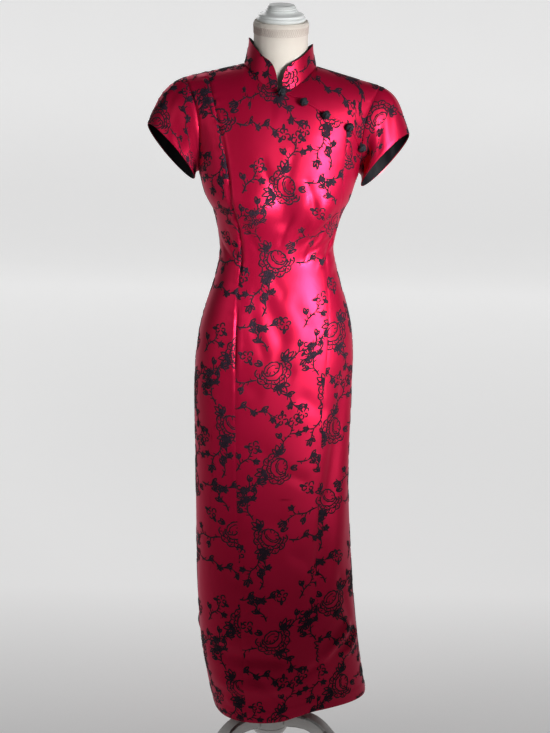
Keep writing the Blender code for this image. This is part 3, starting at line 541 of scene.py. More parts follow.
def shape_from(name, bm, material, sharp=None):
    """A smooth shape of one material, with an edge kept where it turns by more than sharp."""
    mesh = bpy.data.meshes.new(name)
    bm.to_mesh(mesh)
    bm.free()
    mesh.shade_smooth()
    if sharp:
        mesh.set_sharp_from_angle(angle=math.radians(sharp))
    mesh.materials.append(material)
    return in_scene(name, mesh)


def settle(made, node=None):
    """A finished piece rides on the part, in the place of its node."""
    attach(made, "root")
    if node:
        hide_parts(node)


def laid_out(places):
    """How far each place lies across from the middle column, and up from the lowest row."""
    rows, columns = places.shape[:2]
    run = np.cumsum(np.linalg.norm(np.diff(places, axis=1), axis=2), axis=1)
    run = np.concatenate([np.zeros((rows, 1)), run], axis=1)
    climb = np.cumsum(np.linalg.norm(np.diff(places, axis=0), axis=2), axis=0)
    climb = np.concatenate([np.zeros((1, columns)), climb], axis=0)
    return run - run[:, columns // 2:columns // 2 + 1], climb


def cloth_shell(name, places, material, thickness):
    """A sheet from a grid of places, rows by columns, with its wall to the inside."""
    rows, columns = places.shape[:2]
    run, climb = laid_out(places)
    bm = bmesh.new()
    bmesh.ops.create_grid(bm, x_segments=columns - 1, y_segments=rows - 1, size=1.0)
    flat = places.reshape(-1, 3)
    for vert, spot in zip(bm.verts, flat):
        vert.co = spot
    across = run.reshape(-1)
    warp = bm.loops.layers.uv.new("warp")
    for face in bm.faces:
        for loop in face.loops:
            index = loop.vert.index
            loop[warp].uv = (across[index], climb[index // columns, columns // 2])
    bmesh.ops.solidify(bm, geom=bm.faces[:], thickness=thickness)
    return shape_from(name, bm, material, 50.0)


sheets = {}


def sewn(name, node, places, material, thickness):
    made = cloth_shell(name, places, material, thickness)
    settle(made, node)
    sheets[node] = (made, places)


def satin_piece(node, places):
    sewn("satin_" + node, node, places, satin, CLOTH)


def panel_places(edges, shares, bottoms, tops, lift, low, phase, firm=(1.0, 1.0)):
    """The grid of places of one panel, a column for each share and its top."""
    rise = np.linspace(0.0, 1.0, HIGH_ROWS)[:, None]
    heights = bottoms[None, :] + (tops - bottoms)[None, :] * rise
    if low:
        skirt = np.linspace(HEM, UNDERARM, LOW_ROWS)[:-1, None]
        heights = np.concatenate([np.repeat(skirt, len(shares), axis=1), heights])
    start = edges[0](heights)
    end = edges[1](heights)
    angle = mix(start, end, shares[None, :])
    raised = lift(angle, heights)
    width = np.linalg.norm(body_point(end, heights) - body_point(start, heights), axis=-1)
    from_start = shares[None, :] * width
    from_end = (1.0 - shares[None, :]) * width
    raised = raised + firm[0] * seam_relief(from_start, heights, phase)
    raised = raised + firm[1] * seam_relief(from_end, heights, phase + 2.0)
    raised = raised + fold_height(CREASES, angle, heights)
    if low:
        turned = (heights - HEM) / HEM_TURNING
        raised = raised + 0.0007 * ease(1.0 - (turned - 0.85) / 0.15)
        raised = raised - 0.001 * np.exp(-(turned / 0.06) ** 2)
    places = on_body(angle, heights, raised)
    top_edge = heights >= SHOULDER - 1e-6
    places[..., 1] = np.where(top_edge, SHOULDER_LINE_Y, places[..., 1])
    places += AXIS
    return places


# The front centre panel: the whole front from collar to hem between the princess seams,
# cut with the slanting overlap edge on the wearer's left.
def right_seam(height):
    return read_row(PRINCESS, "right", height)


def left_seam(height):
    return read_row(PRINCESS, "left", height)


def neck_shares(edges, turns):
    angle, height = neck_spot(turns)
    start = edges[0](height)
    return (angle - start) / (edges[1](height) - start), height


def overlap_tops(edges, shares):
    def under(height):
        return height < overlap_height(mix(edges[0](height), edges[1](height), shares))

    return halved_to(len(shares), under)[0]


edges = (right_seam, left_seam)
neck, neck_tops = neck_shares(edges, np.linspace(-89.0, 1.5, 36))
shoulder = np.array([share for share in across_shares(48, last=False) if share < neck[0] - 0.01])
chest = np.concatenate([mix(neck[-1], 1.0 - EDGE_SHARES[-1], np.linspace(0.0, 1.0, 34)[1:]),
                        1.0 - np.array(EDGE_SHARES[-2::-1])])
shares = np.concatenate([shoulder, neck, chest])
tops = np.concatenate([np.full(len(shoulder), SHOULDER), neck_tops, overlap_tops(edges, chest)])
places = panel_places(edges, shares, np.full(len(shares), UNDERARM), tops, overlap_lift, True, 0.3,
                      firm=(1.6, 0.3))
satin_piece("front_centre", places)


# The side fronts: a princess piece on each side, from the shoulder to the hem, with the
# slit along the lower part of its side edge.
def right_side(height):
    return side_edge(-1, "front", height)


def left_side(height):
    return side_edge(1, "front", height)


edges = (right_side, right_seam)
shares = across_shares(32)
full = np.full(len(shares), UNDERARM)
places = panel_places(edges, shares, full, np.full(len(shares), SHOULDER), flat_lift, True, 1.1,
                      firm=(1.0, 1.6))
satin_piece("side_front_right", places)

edges = (left_seam, left_side)
arm_rows = [UNDERARM + ARCH * mix(i / 10, (1.0 - math.cos(math.pi * i / 10)) / 2.0, 0.6) for i in range(11)]
arm_end = float(overlap_height(np.array([ARM_FRONT]))[0])
arm_top = min(arm_rows, key=lambda row: abs(row - arm_end))
tops = overlap_tops(edges, shares)
tops[-1] = arm_top
places = panel_places(edges, shares, full, tops, overlap_lift, True, 2.3, firm=(0.3, 1.0))
satin_piece("side_front_left", places)


# The under panel: the part of the chest that the overlap buttons down on, from the collar
# and the left shoulder to three centimetres below the overlap's edge.
def under_centre(height):
    return np.full(np.shape(height), OVERLAP_START + 1.5)


edges = (under_centre, left_side)
neck, neck_tops = neck_shares(edges, np.linspace(5.0, 89.0, 34))
shoulder = np.array([share for share in across_shares(26, first=False) if share > neck[-1] + 0.01])
shares = np.concatenate([neck, shoulder])
tops = np.concatenate([neck_tops, np.full(len(shoulder), SHOULDER)])
bottoms = overlap_tops(edges, shares)
bottoms[-1] = arm_top
places = panel_places(edges, shares, bottoms - OVERLAP_HIDDEN, tops, flat_lift, False, 0.9)
satin_piece("under_panel", places)


# The backs: two panels of satin that run from the shoulders to the hem and meet in a plain,
# straight centre back seam.
def back_lift(angle, height):
    return slit_tuck(angle, height)


for side, word in ((-1, "right"), (1, "left")):
    def outer(height, side=side):
        return side_edge(side, "back", height)

    def centre(height, side=side):
        return np.full(np.shape(height), side * 180.0)

    edges = (outer, centre) if side > 0 else (centre, outer)
    turns = np.linspace(91.0, 179.8, 32)
    if side < 0:
        turns = 360.0 - turns[::-1]
    angle, neck_tops = neck_spot(turns)
    angle = angle if side > 0 else angle - 360.0
    start = edges[0](neck_tops)
    neck = np.clip((angle - start) / (edges[1](neck_tops) - start), 0.0, 1.0)
    if side > 0:
        neck[-1] = 1.0
        shoulder = np.array([share for share in across_shares(54, last=False) if share < neck[0] - 0.01])
        shares = np.concatenate([shoulder, neck])
        tops = np.concatenate([np.full(len(shoulder), SHOULDER), neck_tops])
    else:
        neck[0] = 0.0
        shoulder = np.array([share for share in across_shares(54, first=False) if share > neck[-1] + 0.01])
        shares = np.concatenate([neck, shoulder])
        tops = np.concatenate([neck_tops, np.full(len(shoulder), SHOULDER)])
    places = panel_places(
        edges, shares, np.full(len(shares), UNDERARM), tops, back_lift, True, 1.9 + side
    )
    satin_piece("back_" + word, places)


# The stand collar: one shaped band of satin round the neck, its two ends rounded off at
# the centre front, lined with black so that the lining shows inside it.
COLLAR_HEIGHT = 0.051
COLLAR_CORNER = 0.026
COLLAR_LEFT_DIP = 0.007
COLLAR_END = 3.5
COLLAR_LEAN_SIDE = 0.01
COLLAR_LEAN_BACK = 0.014
COLLAR_LEAN_FRONT = 0.002
COLLAR_SINK = 0.0014
LINING = 0.001
black_lining, shader, wire = finish_of(
    "black_lining_cloth", {"Specular IOR Level": 0.08}
)
place = wire.in_space()
soft = place.noise(60.0, 3.0)
paint(soft, shader, (0.002, 0.002, 0.003), (0.007, 0.006, 0.008), 0.2, 0.5)
feed(relief(wire, place.noise(900.0, 1.0) * 0.3 + soft, 0.0004, 0.5), shader, "Normal")


def collar_places(turns, shares, inset):
    """Rows up the collar by turns round the neck, moved in from its face."""
    angle, height = neck_spot(turns, 0.0)
    seam = body_point(angle, height)
    turn = np.radians(turns)
    out = np.stack([np.sin(turn), -np.cos(turn), np.zeros(len(turns))], axis=-1)
    ahead = np.cos(turn)
    lean = mix(COLLAR_LEAN_SIDE, np.where(ahead > 0, COLLAR_LEAN_FRONT, COLLAR_LEAN_BACK), np.abs(ahead))
    x = np.abs(NECK_HALF_WIDTH * np.sin(turn))
    end = NECK_HALF_WIDTH * math.sin(math.radians(COLLAR_END))
    full = COLLAR_HEIGHT - COLLAR_LEFT_DIP * np.maximum(0.0, np.sin(turn))
    share = np.clip((COLLAR_CORNER - x) / (COLLAR_CORNER - end), 0.0, 1.0)
    rounded = full * (0.12 + 0.88 * np.sqrt(np.maximum(0.0, 1.0 - share ** 2.2)))
    rise = np.where((x > COLLAR_CORNER) | (ahead < 0), full, rounded)
    shares = shares[:, None]
    curve = np.sin(shares * math.pi / 2.0)
    inward = lean * curve * rise / COLLAR_HEIGHT + inset
    places = seam[None] - out[None] * inward[..., None]
    places[..., 2] += shares * rise - COLLAR_SINK * (1.0 - shares)
    return places + AXIS


def collar_turns(count):
    half = np.concatenate([COLLAR_END + (26.0 - COLLAR_END) * np.linspace(0, 1, 24)[:-1] ** 1.6,
                           np.linspace(26.0, 180.0, count)])
    return np.concatenate([half, 360.0 - half[-2::-1]])


turns = collar_turns(56)
shares = np.linspace(0.0, 1.0, 18)
places = collar_places(turns, shares, 0.0)
satin_piece("collar", places)
places = collar_places(turns, shares * 0.985, CLOTH + SEAM_GAP)
sewn("lining_collar", "collar_lining", places, black_lining, LINING)


# The cap sleeves: short and set in, cut wide at the head and shaped so that the opening
# slants in to the underarm. Each has a black lining that shows in its mouth.
Sleeve = namedtuple("Sleeve", "name side tip_x tip_z pit_x pit_z")
SLEEVES = [
    Sleeve("right", -1, -0.271, 1.393, -0.176, 1.284),
    Sleeve("left", 1, 0.257, 1.383, 0.164, 1.276),
]
MOUTH_DEPTH = 0.05
MOUTH_TURN = 0.017
ARMHOLE_GAP = 0.0007
ARM_COUNT = 20
SleeveFold = namedtuple("SleeveFold", "around width start end depth")
SLEEVE_FOLDS = [
    SleeveFold(0.6, 0.45, 0.0, 0.7, 0.001),
    SleeveFold(1.8, 0.45, 0.0, 0.5, -0.0008),
    SleeveFold(3.2, 0.6, 0.1, 0.9, 0.0014),
    SleeveFold(5.1, 0.55, 0.3, 1.0, 0.0012),
    SleeveFold(7.3, 0.6, 0.0, 0.8, 0.0016),
    SleeveFold(12.6, 0.5, 0.0, 0.8, 0.002),
    SleeveFold(15.4, 0.45, 0.2, 1.0, 0.0024),
    SleeveFold(18.0, 0.4, 0.0, 0.7, 0.0018),
]


def arm_edge(side, around):
    """Angle, height and lift of the armhole, from the shoulder down its front and up its back."""
    front = around <= ARM_COUNT / 2.0
    even = np.where(front, 1.0 - around / (ARM_COUNT / 2.0), around / (ARM_COUNT / 2.0) - 1.0)
    eased = (1.0 - np.cos(math.pi * even)) / 2.0
    height = UNDERARM + ARCH * mix(even, eased, 0.6)
    angle = np.where(front, side_edge(side, "front", height), side_edge(side, "back", height))
    lift = overlap_lift(angle, height) * ease((arm_top + 0.008 - height) / 0.016)
    return angle, height, np.where(front, lift, 0.0)


def sleeve_places(sleeve, around, shares, inset):
    """Rows from the armhole to the mouth by columns around the arm."""
    angle, height, lift = arm_edge(sleeve.side, around % ARM_COUNT)
    edge = on_body(angle, height, lift)
    edge[..., 1] = np.where(height >= SHOULDER - 1e-6, SHOULDER_LINE_Y, edge[..., 1])
    tip = np.array([sleeve.tip_x, 0.0, sleeve.tip_z])
    pit = np.array([sleeve.pit_x, 0.0, sleeve.pit_z])
    middle = (tip + pit) / 2.0
    half = (tip - pit) / 2.0
    inward = np.array([-sleeve.side * half[2], 0.0, abs(half[0])])
    depth = np.array([0.0, -MOUTH_DEPTH, 0.0]) + inward / np.linalg.norm(inward) * MOUTH_TURN
    turn = 2.0 * math.pi * around / ARM_COUNT
    cosine = np.cos(turn)[:, None]
    mouth = middle + half * cosine + depth * np.sin(turn)[:, None]
    out = np.stack([np.full(len(turn), float(sleeve.side)), np.zeros(len(turn)),
                    -0.25 * np.cos(turn) - 0.1], axis=-1)
    out /= np.linalg.norm(out, axis=-1, keepdims=True)
    lead = 0.42 * np.linalg.norm(mouth - edge, axis=-1, keepdims=True)
    fall = np.array([sleeve.side * 0.42, 0.0, -1.0])
    fall /= np.linalg.norm(fall)
    drop = fall * lead * np.maximum(0.25, np.cos(turn / 2.0) ** 2)[:, None]
    begin = edge + out * ARMHOLE_GAP
    ahead = begin + out * lead
    second = mouth - drop
    u = shares[:, None, None]
    places = (begin * (1 - u) ** 3 + ahead * 3 * u * (1 - u) ** 2
              + second * 3 * u ** 2 * (1 - u) + mouth * u ** 3)
    across = np.roll(places[:, :-1], -1, axis=1) - np.roll(places[:, :-1], 1, axis=1)
    across = np.concatenate([across, across[:, :1]], axis=1)
    along = np.gradient(places, axis=0)
    normal = np.cross(across, along) * sleeve.side
    normal /= np.linalg.norm(normal, axis=-1, keepdims=True)
    lift = np.zeros(places.shape[:2])
    for fold in SLEEVE_FOLDS:
        gap = (around - fold.around + ARM_COUNT / 2.0) % ARM_COUNT - ARM_COUNT / 2.0
        near = np.exp(-(gap / fold.width) ** 2)[None, :]
        span = ease((shares - fold.start + 0.15) / 0.3) * ease((fold.end - shares + 0.15) / 0.3)
        lift -= fold.depth * near * span[:, None]
    rolled = -0.0009 * np.exp(-(shares / 0.035) ** 2) - 0.0006 * np.exp(-((1.0 - shares) / 0.03) ** 2)
    lift = lift * ease(shares / 0.1)[:, None] + np.minimum(rolled, 0.0)[:, None]
    places = places + normal * (lift - inset)[..., None]
    return places + AXIS


around = np.linspace(0.0, ARM_COUNT, 121)
shares = np.concatenate([[0.0, 0.012, 0.03, 0.055], np.linspace(0.085, 0.93, 32), [0.96, 0.98, 1.0]])
for sleeve in SLEEVES:
    order = slice(None, None, sleeve.side)
    places = sleeve_places(sleeve, around, shares, 0.0)[:, order]
    satin_piece("sleeve_" + sleeve.name, places)
    inner = mix(0.14, 0.985, np.linspace(0.0, 1.0, 26))
    places = sleeve_places(sleeve, around, inner, CLOTH + SEAM_GAP)[:, order]
    sewn("lining_sleeve_" + sleeve.name, "sleeve_lining_" + sleeve.name, places, black_lining, LINING)


# The brocade: roses seen from the side, with feathery leaves on one side of each, and
# thorny twigs with blossoms, buds and leaves between them. They are woven in a raised
# charcoal thread and repeat over the cloth, cut off at each seam.
OUTLINE = 0.0026
HATCH = 0.0018
TWIG = 0.0028
ENLARGE = 1.28
REPEAT_WIDTH = 0.206 * ENLARGE
REPEAT_HEIGHT = 0.228 * ENLARGE
THREAD_PARTS = 6
THREAD_EDGE = 0.00028
THREAD_CROWN = 0.00088
Stroke = namedtuple("Stroke", "start bend end width")
repeat = []


def draw(*parts):
    repeat.append(Stroke(*parts))


def polar(length, degrees):
    return cmath.rect(length, math.radians(degrees))


def leaf(foot, aim, length):
    """A pointed leaf: its outline and half a rib."""
    for way in (-1, 1):
        draw(foot, foot + polar(length * 0.58, aim + way * 40), foot + polar(length, aim), OUTLINE)
    draw(foot, foot + polar(length * 0.3, aim), foot + polar(length * 0.55, aim), HATCH)


def bud(foot, aim, length):
    """A bud: two outlined halves between two thin sepals."""
    for swing, reach in ((-19, 0.95), (17, 1.0)):
        tip = foot + polar(length * reach, aim + swing * 0.7)
        for way in (-1, 1):
            draw(foot, foot + polar(length * 0.62, aim + swing + way * 22), tip, OUTLINE)
    for swing in (-58, 55):
        draw(foot, foot + polar(length * 0.4, aim + swing * 0.5),
             foot + polar(length * 0.7, aim + swing), HATCH)


def lips(heart, aim, long, wide, first, last, count, bulge, width):
    """A row of rounded petal lips along an oval; gives the places where they meet."""
    joints = []
    for k in range(count + 1):
        turn = first + (last - first) * k / count
        spot = polar(1.0, turn)
        joints.append(heart + polar(1.0, aim) * complex(spot.real * long, spot.imag * wide))
        if k:
            spot = polar(bulge, turn - (last - first) / count / 2.0)
            bend = heart + polar(1.0, aim) * complex(spot.real * long, spot.imag * wide)
            draw(joints[-2], bend, joints[-1], width)
    return joints


def blossom(heart, aim, size):
    """Five small open petals round the heart, with pointed leaves behind them."""
    for k in range(5):
        turn = aim + 72 * k + 9 * (k % 2)
        reach = size * (1.0 + 0.14 * math.sin(2.3 * k + aim))
        left = heart + polar(reach * 0.8, turn + 26)
        right = heart + polar(reach * 0.8, turn - 26)
        draw(heart + polar(size * 0.22, turn + 20), heart + polar(reach * 0.5, turn + 36), left, OUTLINE)
        draw(left, heart + polar(reach * 1.22, turn), right, OUTLINE)
        if k in (1, 3):
            leaf(heart + polar(size * 0.75, turn + 36), turn + 36, size * 0.85)


def rose(heart, size, aim, leafy):
    """A bloom seen from the side: an open cup, petals folded round it, and leaves at its foot."""
    cup = heart + polar(size * 0.16, aim)
    rim = lips(cup, aim + 78 * leafy, size * 0.5, size * 0.34, 0, 360, 8, 1.2, OUTLINE)
    lips(cup - polar(size * 0.04, aim), aim + 78 * leafy, size * 0.34, size * 0.2, 20, 200, 3, 1.25, HATCH)
    for k, reach in ((4, 0.42), (5, 0.58), (6, 0.5), (7, 0.62)):
        inward = rim[k] + (cup - rim[k]) * reach
        draw(rim[k], (rim[k] + inward) / 2 + polar(size * 0.05, aim), inward, HATCH)
    rows = [rim]
    for reach, first, last, count in ((0.58, -120, 112, 5), (0.74, -108, 118, 6), (0.95, -128, 124, 8)):
        middle = cup - polar(size * (0.26 * reach - 0.06), aim)
        rows.append(lips(middle, aim + 180, size * reach, size * reach * 1.02, first, last, count,
                         1.26, OUTLINE))
    for inner, outer in ((rows[1], rows[2]), (rows[2], rows[3])):
        for k in range(1, 2 * len(outer) - 2):
            lip = (outer[k // 2] + outer[(k + 1) // 2]) / 2
            lip += (lip - cup) * 0.07 * (k % 2)
            root = inner[min(len(inner) - 1, round(k / 2 * len(inner) / len(outer)))]
            reach = 0.55 if k % 2 else 0.85
            draw(lip, lip + (root - lip) * 0.4, lip + (root - lip) * reach, HATCH)
    foot = cup - polar(size * 0.98, aim)
    for swing, reach in ((140, 0.62), (172, 0.74), (206, 0.66), (240, 0.5)):
        leaf(foot + polar(size * 0.08, aim + leafy * swing), aim + leafy * swing, size * reach)
    side = cup + polar(size * 0.82, aim + leafy * 82)
    for swing, reach in ((18, 0.52), (52, 0.7), (84, 0.74), (118, 0.6)):
        leaf(side, aim + leafy * swing, size * reach)
    side = cup + polar(size * 0.6, aim - leafy * 40)
    for swing, reach in ((-16, 0.44), (-50, 0.5)):
        leaf(side, aim + leafy * swing, size * reach)


def twig(start, aim, length, turns, ending):
    """A jointed twig with thorns, a leaf or bud on a stalk at each joint, and a flower at its end."""
    spot = start
    step = length / len(turns)
    for k, turn in enumerate(turns):
        way = 1 if k % 2 else -1
        aim += turn
        after = spot + polar(step, aim)
        draw(spot, spot + polar(step * 0.5, aim + way * 9.0), after, TWIG * (1.0 - 0.1 * k))
        for share, side in ((0.3, way), (0.66, -way)):
            root = spot + polar(step * share, aim)
            draw(root, root + polar(0.003, aim + side * 40), root + polar(0.0062, aim + side * 58), HATCH)
        if k < len(turns) - 1:
            stalk = after + polar(0.0085, aim - way * 50)
            draw(after, after + polar(0.0042, aim - way * 30), stalk, HATCH * 1.2)
            (bud if k % 2 else leaf)(stalk, aim - way * 54, 0.012)
            if not k % 2:
                leaf(stalk, aim - way * 14, 0.0095)
        spot = after
    if ending == "blossom":
        blossom(spot + polar(0.008, aim), aim, 0.0098)
    else:
        bud(spot, aim, 0.0145)
        leaf(spot, aim + 62, 0.0105)


rose(complex(0.046, 0.058), 0.026, 62.0, 1)
rose(complex(0.15, 0.108), 0.027, 118.0, -1)
rose(complex(0.06, 0.176), 0.0255, 20.0, 1)
twig(complex(0.076, 0.05), -14.0, 0.088, (0, 26, -38, 22, -26), "blossom")
twig(complex(0.124, 0.094), 196.0, 0.056, (0, -22, 30), "bud")
twig(complex(0.158, 0.084), -60.0, 0.062, (0, 24, -30, 20), "blossom")
twig(complex(0.176, 0.124), 34.0, 0.064, (0, -28, 34, -20), "bud")
twig(complex(0.088, 0.18), -6.0, 0.072, (0, 24, -30, 18), "blossom")
twig(complex(0.034, 0.16), 214.0, 0.056, (0, 26, -24, 20), "bud")
twig(complex(0.062, 0.204), 74.0, 0.044, (0, -30, 28), "blossom")
twig(complex(0.13, 0.196), 66.0, 0.06, (0, 30, -26, 18), "bud")
twig(complex(0.018, 0.088), 122.0, 0.046, (0, -26, 20), "blossom")
twig(complex(0.14, 0.14), 110.0, 0.04, (0, 28, -22), "bud")
twig(complex(0.03, 0.028), 250.0, 0.048, (0, -24, 26), "bud")
twig(complex(0.196, 0.17), 60.0, 0.044, (0, -24, 28), "blossom")
blossom(complex(0.108, 0.132), 40.0, 0.01)

repeat = [Stroke(*[value * ENLARGE for value in stroke]) for stroke in repeat]
brocade_thread, shader, wire = finish_of(
    "charcoal_thread", {"Specular IOR Level": 0.14, "Specular Tint": (0.7, 0.35, 0.5, 1.0)}
)
place = wire.in_space()
grain = wire.on_weave()
twist = grain.node("ShaderNodeTexWave", {}, {"Vector": grain, "Scale": 420.0, "Distortion": 1.5})
patchy = place.noise(170.0, 2.0)
paint(patchy, shader, (0.005, 0.003, 0.006), (0.028, 0.018, 0.028), 0.2, 0.4)
feed(relief(wire, twist * 0.6 + patchy * 0.4, 0.0003, 0.7), shader, "Normal")


def onto_cloth(places, u, v):
    """The places and directions of flat points u, v on a sheet, and which fall off it."""
    rows, columns = places.shape[:2]
    run, climb = laid_out(places)
    facing = np.cross(np.gradient(places, axis=1), np.gradient(places, axis=0))
    facing /= np.maximum(1e-12, np.linalg.norm(facing, axis=-1, keepdims=True))
    spots = []
    normals = []
    off = []
    for part in np.array_split(np.arange(len(u)), max(1, len(u) // 6000)):
        each = np.arange(len(part))
        row = np.interp(v[part], climb[:, columns // 2], np.arange(rows))
        for _ in range(3):
            low = np.clip(row.astype(int), 0, rows - 2)
            share = (row - low)[:, None]
            line = run[low] * (1 - share) + run[low + 1] * share
            column = np.clip((line <= u[part][:, None]).sum(axis=1) - 1, 0, columns - 2)
            across = (u[part] - line[each, column]) / (line[each, column + 1] - line[each, column])
            side = np.clip(across, 0.0, 1.0)
            tall = climb[:, column] * (1 - side) + climb[:, column + 1] * side
            low = np.clip((tall <= v[part]).sum(axis=0) - 1, 0, rows - 2)
            up = (v[part] - tall[low, each]) / (tall[low + 1, each] - tall[low, each])
            row = low + np.clip(up, 0.0, 1.0)
        off.append((across < 0) | (across > 1) | (up < 0) | (up > 1))
        side = side[:, None]
        rise = np.clip(up, 0.0, 1.0)[:, None]
        for found, table in ((spots, places), (normals, facing)):
            bottom = table[low, column] * (1 - side) + table[low, column + 1] * side
            top = table[low + 1, column] * (1 - side) + table[low + 1, column + 1] * side
            found.append(bottom * (1 - rise) + top * rise)
    return np.concatenate(spots), np.concatenate(normals), np.concatenate(off)


def threads_on(name, places, strokes, material):
    """Raised threads along flat strokes, laid on a sheet and cut off at its edges."""
    count = len(strokes)
    t = np.linspace(0.0, 1.0, THREAD_PARTS + 1)[None, :]
    start, bend, end, width = [np.array([stroke[k] for stroke in strokes])[:, None] for k in range(4)]
    line = start * (1 - t) ** 2 + bend * 2 * t * (1 - t) + end * t ** 2
    along = 2 * (1 - t) * (bend - start) + 2 * t * (end - bend)
    side = (along / np.maximum(1e-9, np.abs(along)) * 1j * width.real / 2.0
            * (0.62 + 0.38 * np.sin(math.pi * t) ** 0.6))
    flat = np.stack([line - side, line, line + side], axis=1).reshape(-1)
    lift = np.tile(np.repeat([THREAD_EDGE, THREAD_CROWN, THREAD_EDGE], THREAD_PARTS + 1), count)
    spots, normals, off = onto_cloth(places, flat.real, flat.imag)
    spots = spots + normals * lift[:, None]
    bm = bmesh.new()
    bmesh.ops.create_grid(bm, x_segments=THREAD_PARTS, y_segments=3 * count - 1, size=1.0)
    for vert, spot in zip(bm.verts, spots):
        vert.co = spot
    bm.verts.index_update()
    warp = bm.loops.layers.uv.new("warp")
    lengths = np.concatenate([np.zeros((count, 1)), np.cumsum(np.abs(np.diff(line, axis=1)), axis=1)], axis=1)
    unwanted = []
    for face in bm.faces:
        corners = [vert.index for vert in face.verts]
        if min(corners) // (THREAD_PARTS + 1) % 3 == 2 or all(off[corner] for corner in corners):
            unwanted.append(face)
            continue
        for loop in face.loops:
            row, step = divmod(loop.vert.index, THREAD_PARTS + 1)
            loop[warp].uv = (lengths[row // 3, step], row % 3 * 0.001)
    bmesh.ops.delete(bm, geom=unwanted, context="FACES")
    return shape_from(name, bm, material)


def repeats_over(places, shift_u, shift_v):
    """The strokes of the brocade's repeat that fall on a sheet."""
    width = np.linalg.norm(np.diff(places, axis=1), axis=2).sum(axis=1).max() * 0.62
    height = np.linalg.norm(np.diff(places, axis=0), axis=2).sum(axis=0).max()
    found = []
    for j in range(-2, int(height / REPEAT_HEIGHT) + 2):
        for i in range(-2, int(2 * width / REPEAT_WIDTH) + 3):
            across = (i + 0.5 * (j % 2)) * REPEAT_WIDTH - width + shift_u
            move = complex(across, j * REPEAT_HEIGHT + shift_v)
            for stroke in repeat:
                middle = stroke.bend + move
                if abs(middle.real) < width + 0.02 and -0.02 < middle.imag < height + 0.02:
                    found.append(Stroke(stroke.start + move, middle, stroke.end + move, stroke.width))
    return found


Cut = namedtuple("Cut", "name shift_u shift_v")
CUTS = [
    Cut("front_centre", 0.02, 0.06), Cut("side_front_right", 0.09, 0.01), Cut("side_front_left", 0.15, 0.12),
    Cut("under_panel", 0.04, 0.03), Cut("back_right", 0.06, 0.16), Cut("back_left", 0.12, 0.07),
    Cut("collar", 0.03, -0.04), Cut("sleeve_right", 0.01, -0.03), Cut("sleeve_left", 0.08, -0.05),
]
brocade = {}
for cut in CUTS:
    places = sheets[cut.name][1]
    strokes = repeats_over(places, cut.shift_u, cut.shift_v)
    threads = threads_on("brocade_" + cut.name, places, strokes, brocade_thread)
    settle(threads)
    brocade[cut.name] = threads


# The edge of the overlap is bound with a narrow rolled strip of the same satin.
PIPING = 0.0015


def rolled_cord(name, path, radius, sides, material, closed=False):
    """A cord along a path, its ends closed."""
    line = bpy.data.curves.new(name, "CURVE")
    line.dimensions = "3D"
    line.bevel_depth = radius
    line.bevel_resolution = sides
    line.use_fill_caps = True
    spline = line.splines.new("POLY")
    spline.points.add(len(path) - 1)
    spline.use_cyclic_u = closed
    for point, spot in zip(spline.points, path):
        point.co = (*spot, 1.0)
    guide = in_scene(name, line)
    mesh = bpy.data.meshes.new_from_object(guide.evaluated_get(bpy.context.evaluated_depsgraph_get()))
    bpy.data.objects.remove(guide)
    mesh.name = name
    mesh.shade_smooth()
    mesh.materials.clear()
    mesh.materials.append(material)
    return in_scene(name, mesh)


middle = int(np.argmax(sheets["front_centre"][1][-1, :, 0] > AXIS_X + OVERLAP_START * 0.0019))
edge_line = np.concatenate([sheets["front_centre"][1][-1, middle:], sheets["side_front_left"][1][-1]])
piping = rolled_cord("overlap_piping", edge_line + np.array([0.0, -0.0004, 0.0002]), PIPING, 3, satin)
settle(piping)


# The cut of each piece of cloth: its greatest width and length laid flat, and its area.
Pattern = namedtuple("Pattern", "name width length area")
PATTERNS = [
    Pattern("front_centre", 0.355, 1.456, 0.262), Pattern("side_front_right", 0.145, 1.44, 0.168),
    Pattern("side_front_left", 0.212, 1.278, 0.173), Pattern("under_panel", 0.258, 0.188, 0.0252),
    Pattern("back_right", 0.238, 1.437, 0.29), Pattern("back_left", 0.233, 1.432, 0.275),
    Pattern("collar", 0.512, 0.055, 0.0212), Pattern("collar_lining", 0.503, 0.054, 0.0204),
    Pattern("sleeve_right", 0.48, 0.148, 0.0343), Pattern("sleeve_left", 0.47, 0.148, 0.0334),
    Pattern("sleeve_lining_right", 0.464, 0.122, 0.027), Pattern("sleeve_lining_left", 0.456, 0.123, 0.0263),
]
for pattern in PATTERNS:
    trims = [brocade[pattern.name]] if pattern.name in brocade else []
    if pattern.name == "front_centre":
        trims.append(piping)


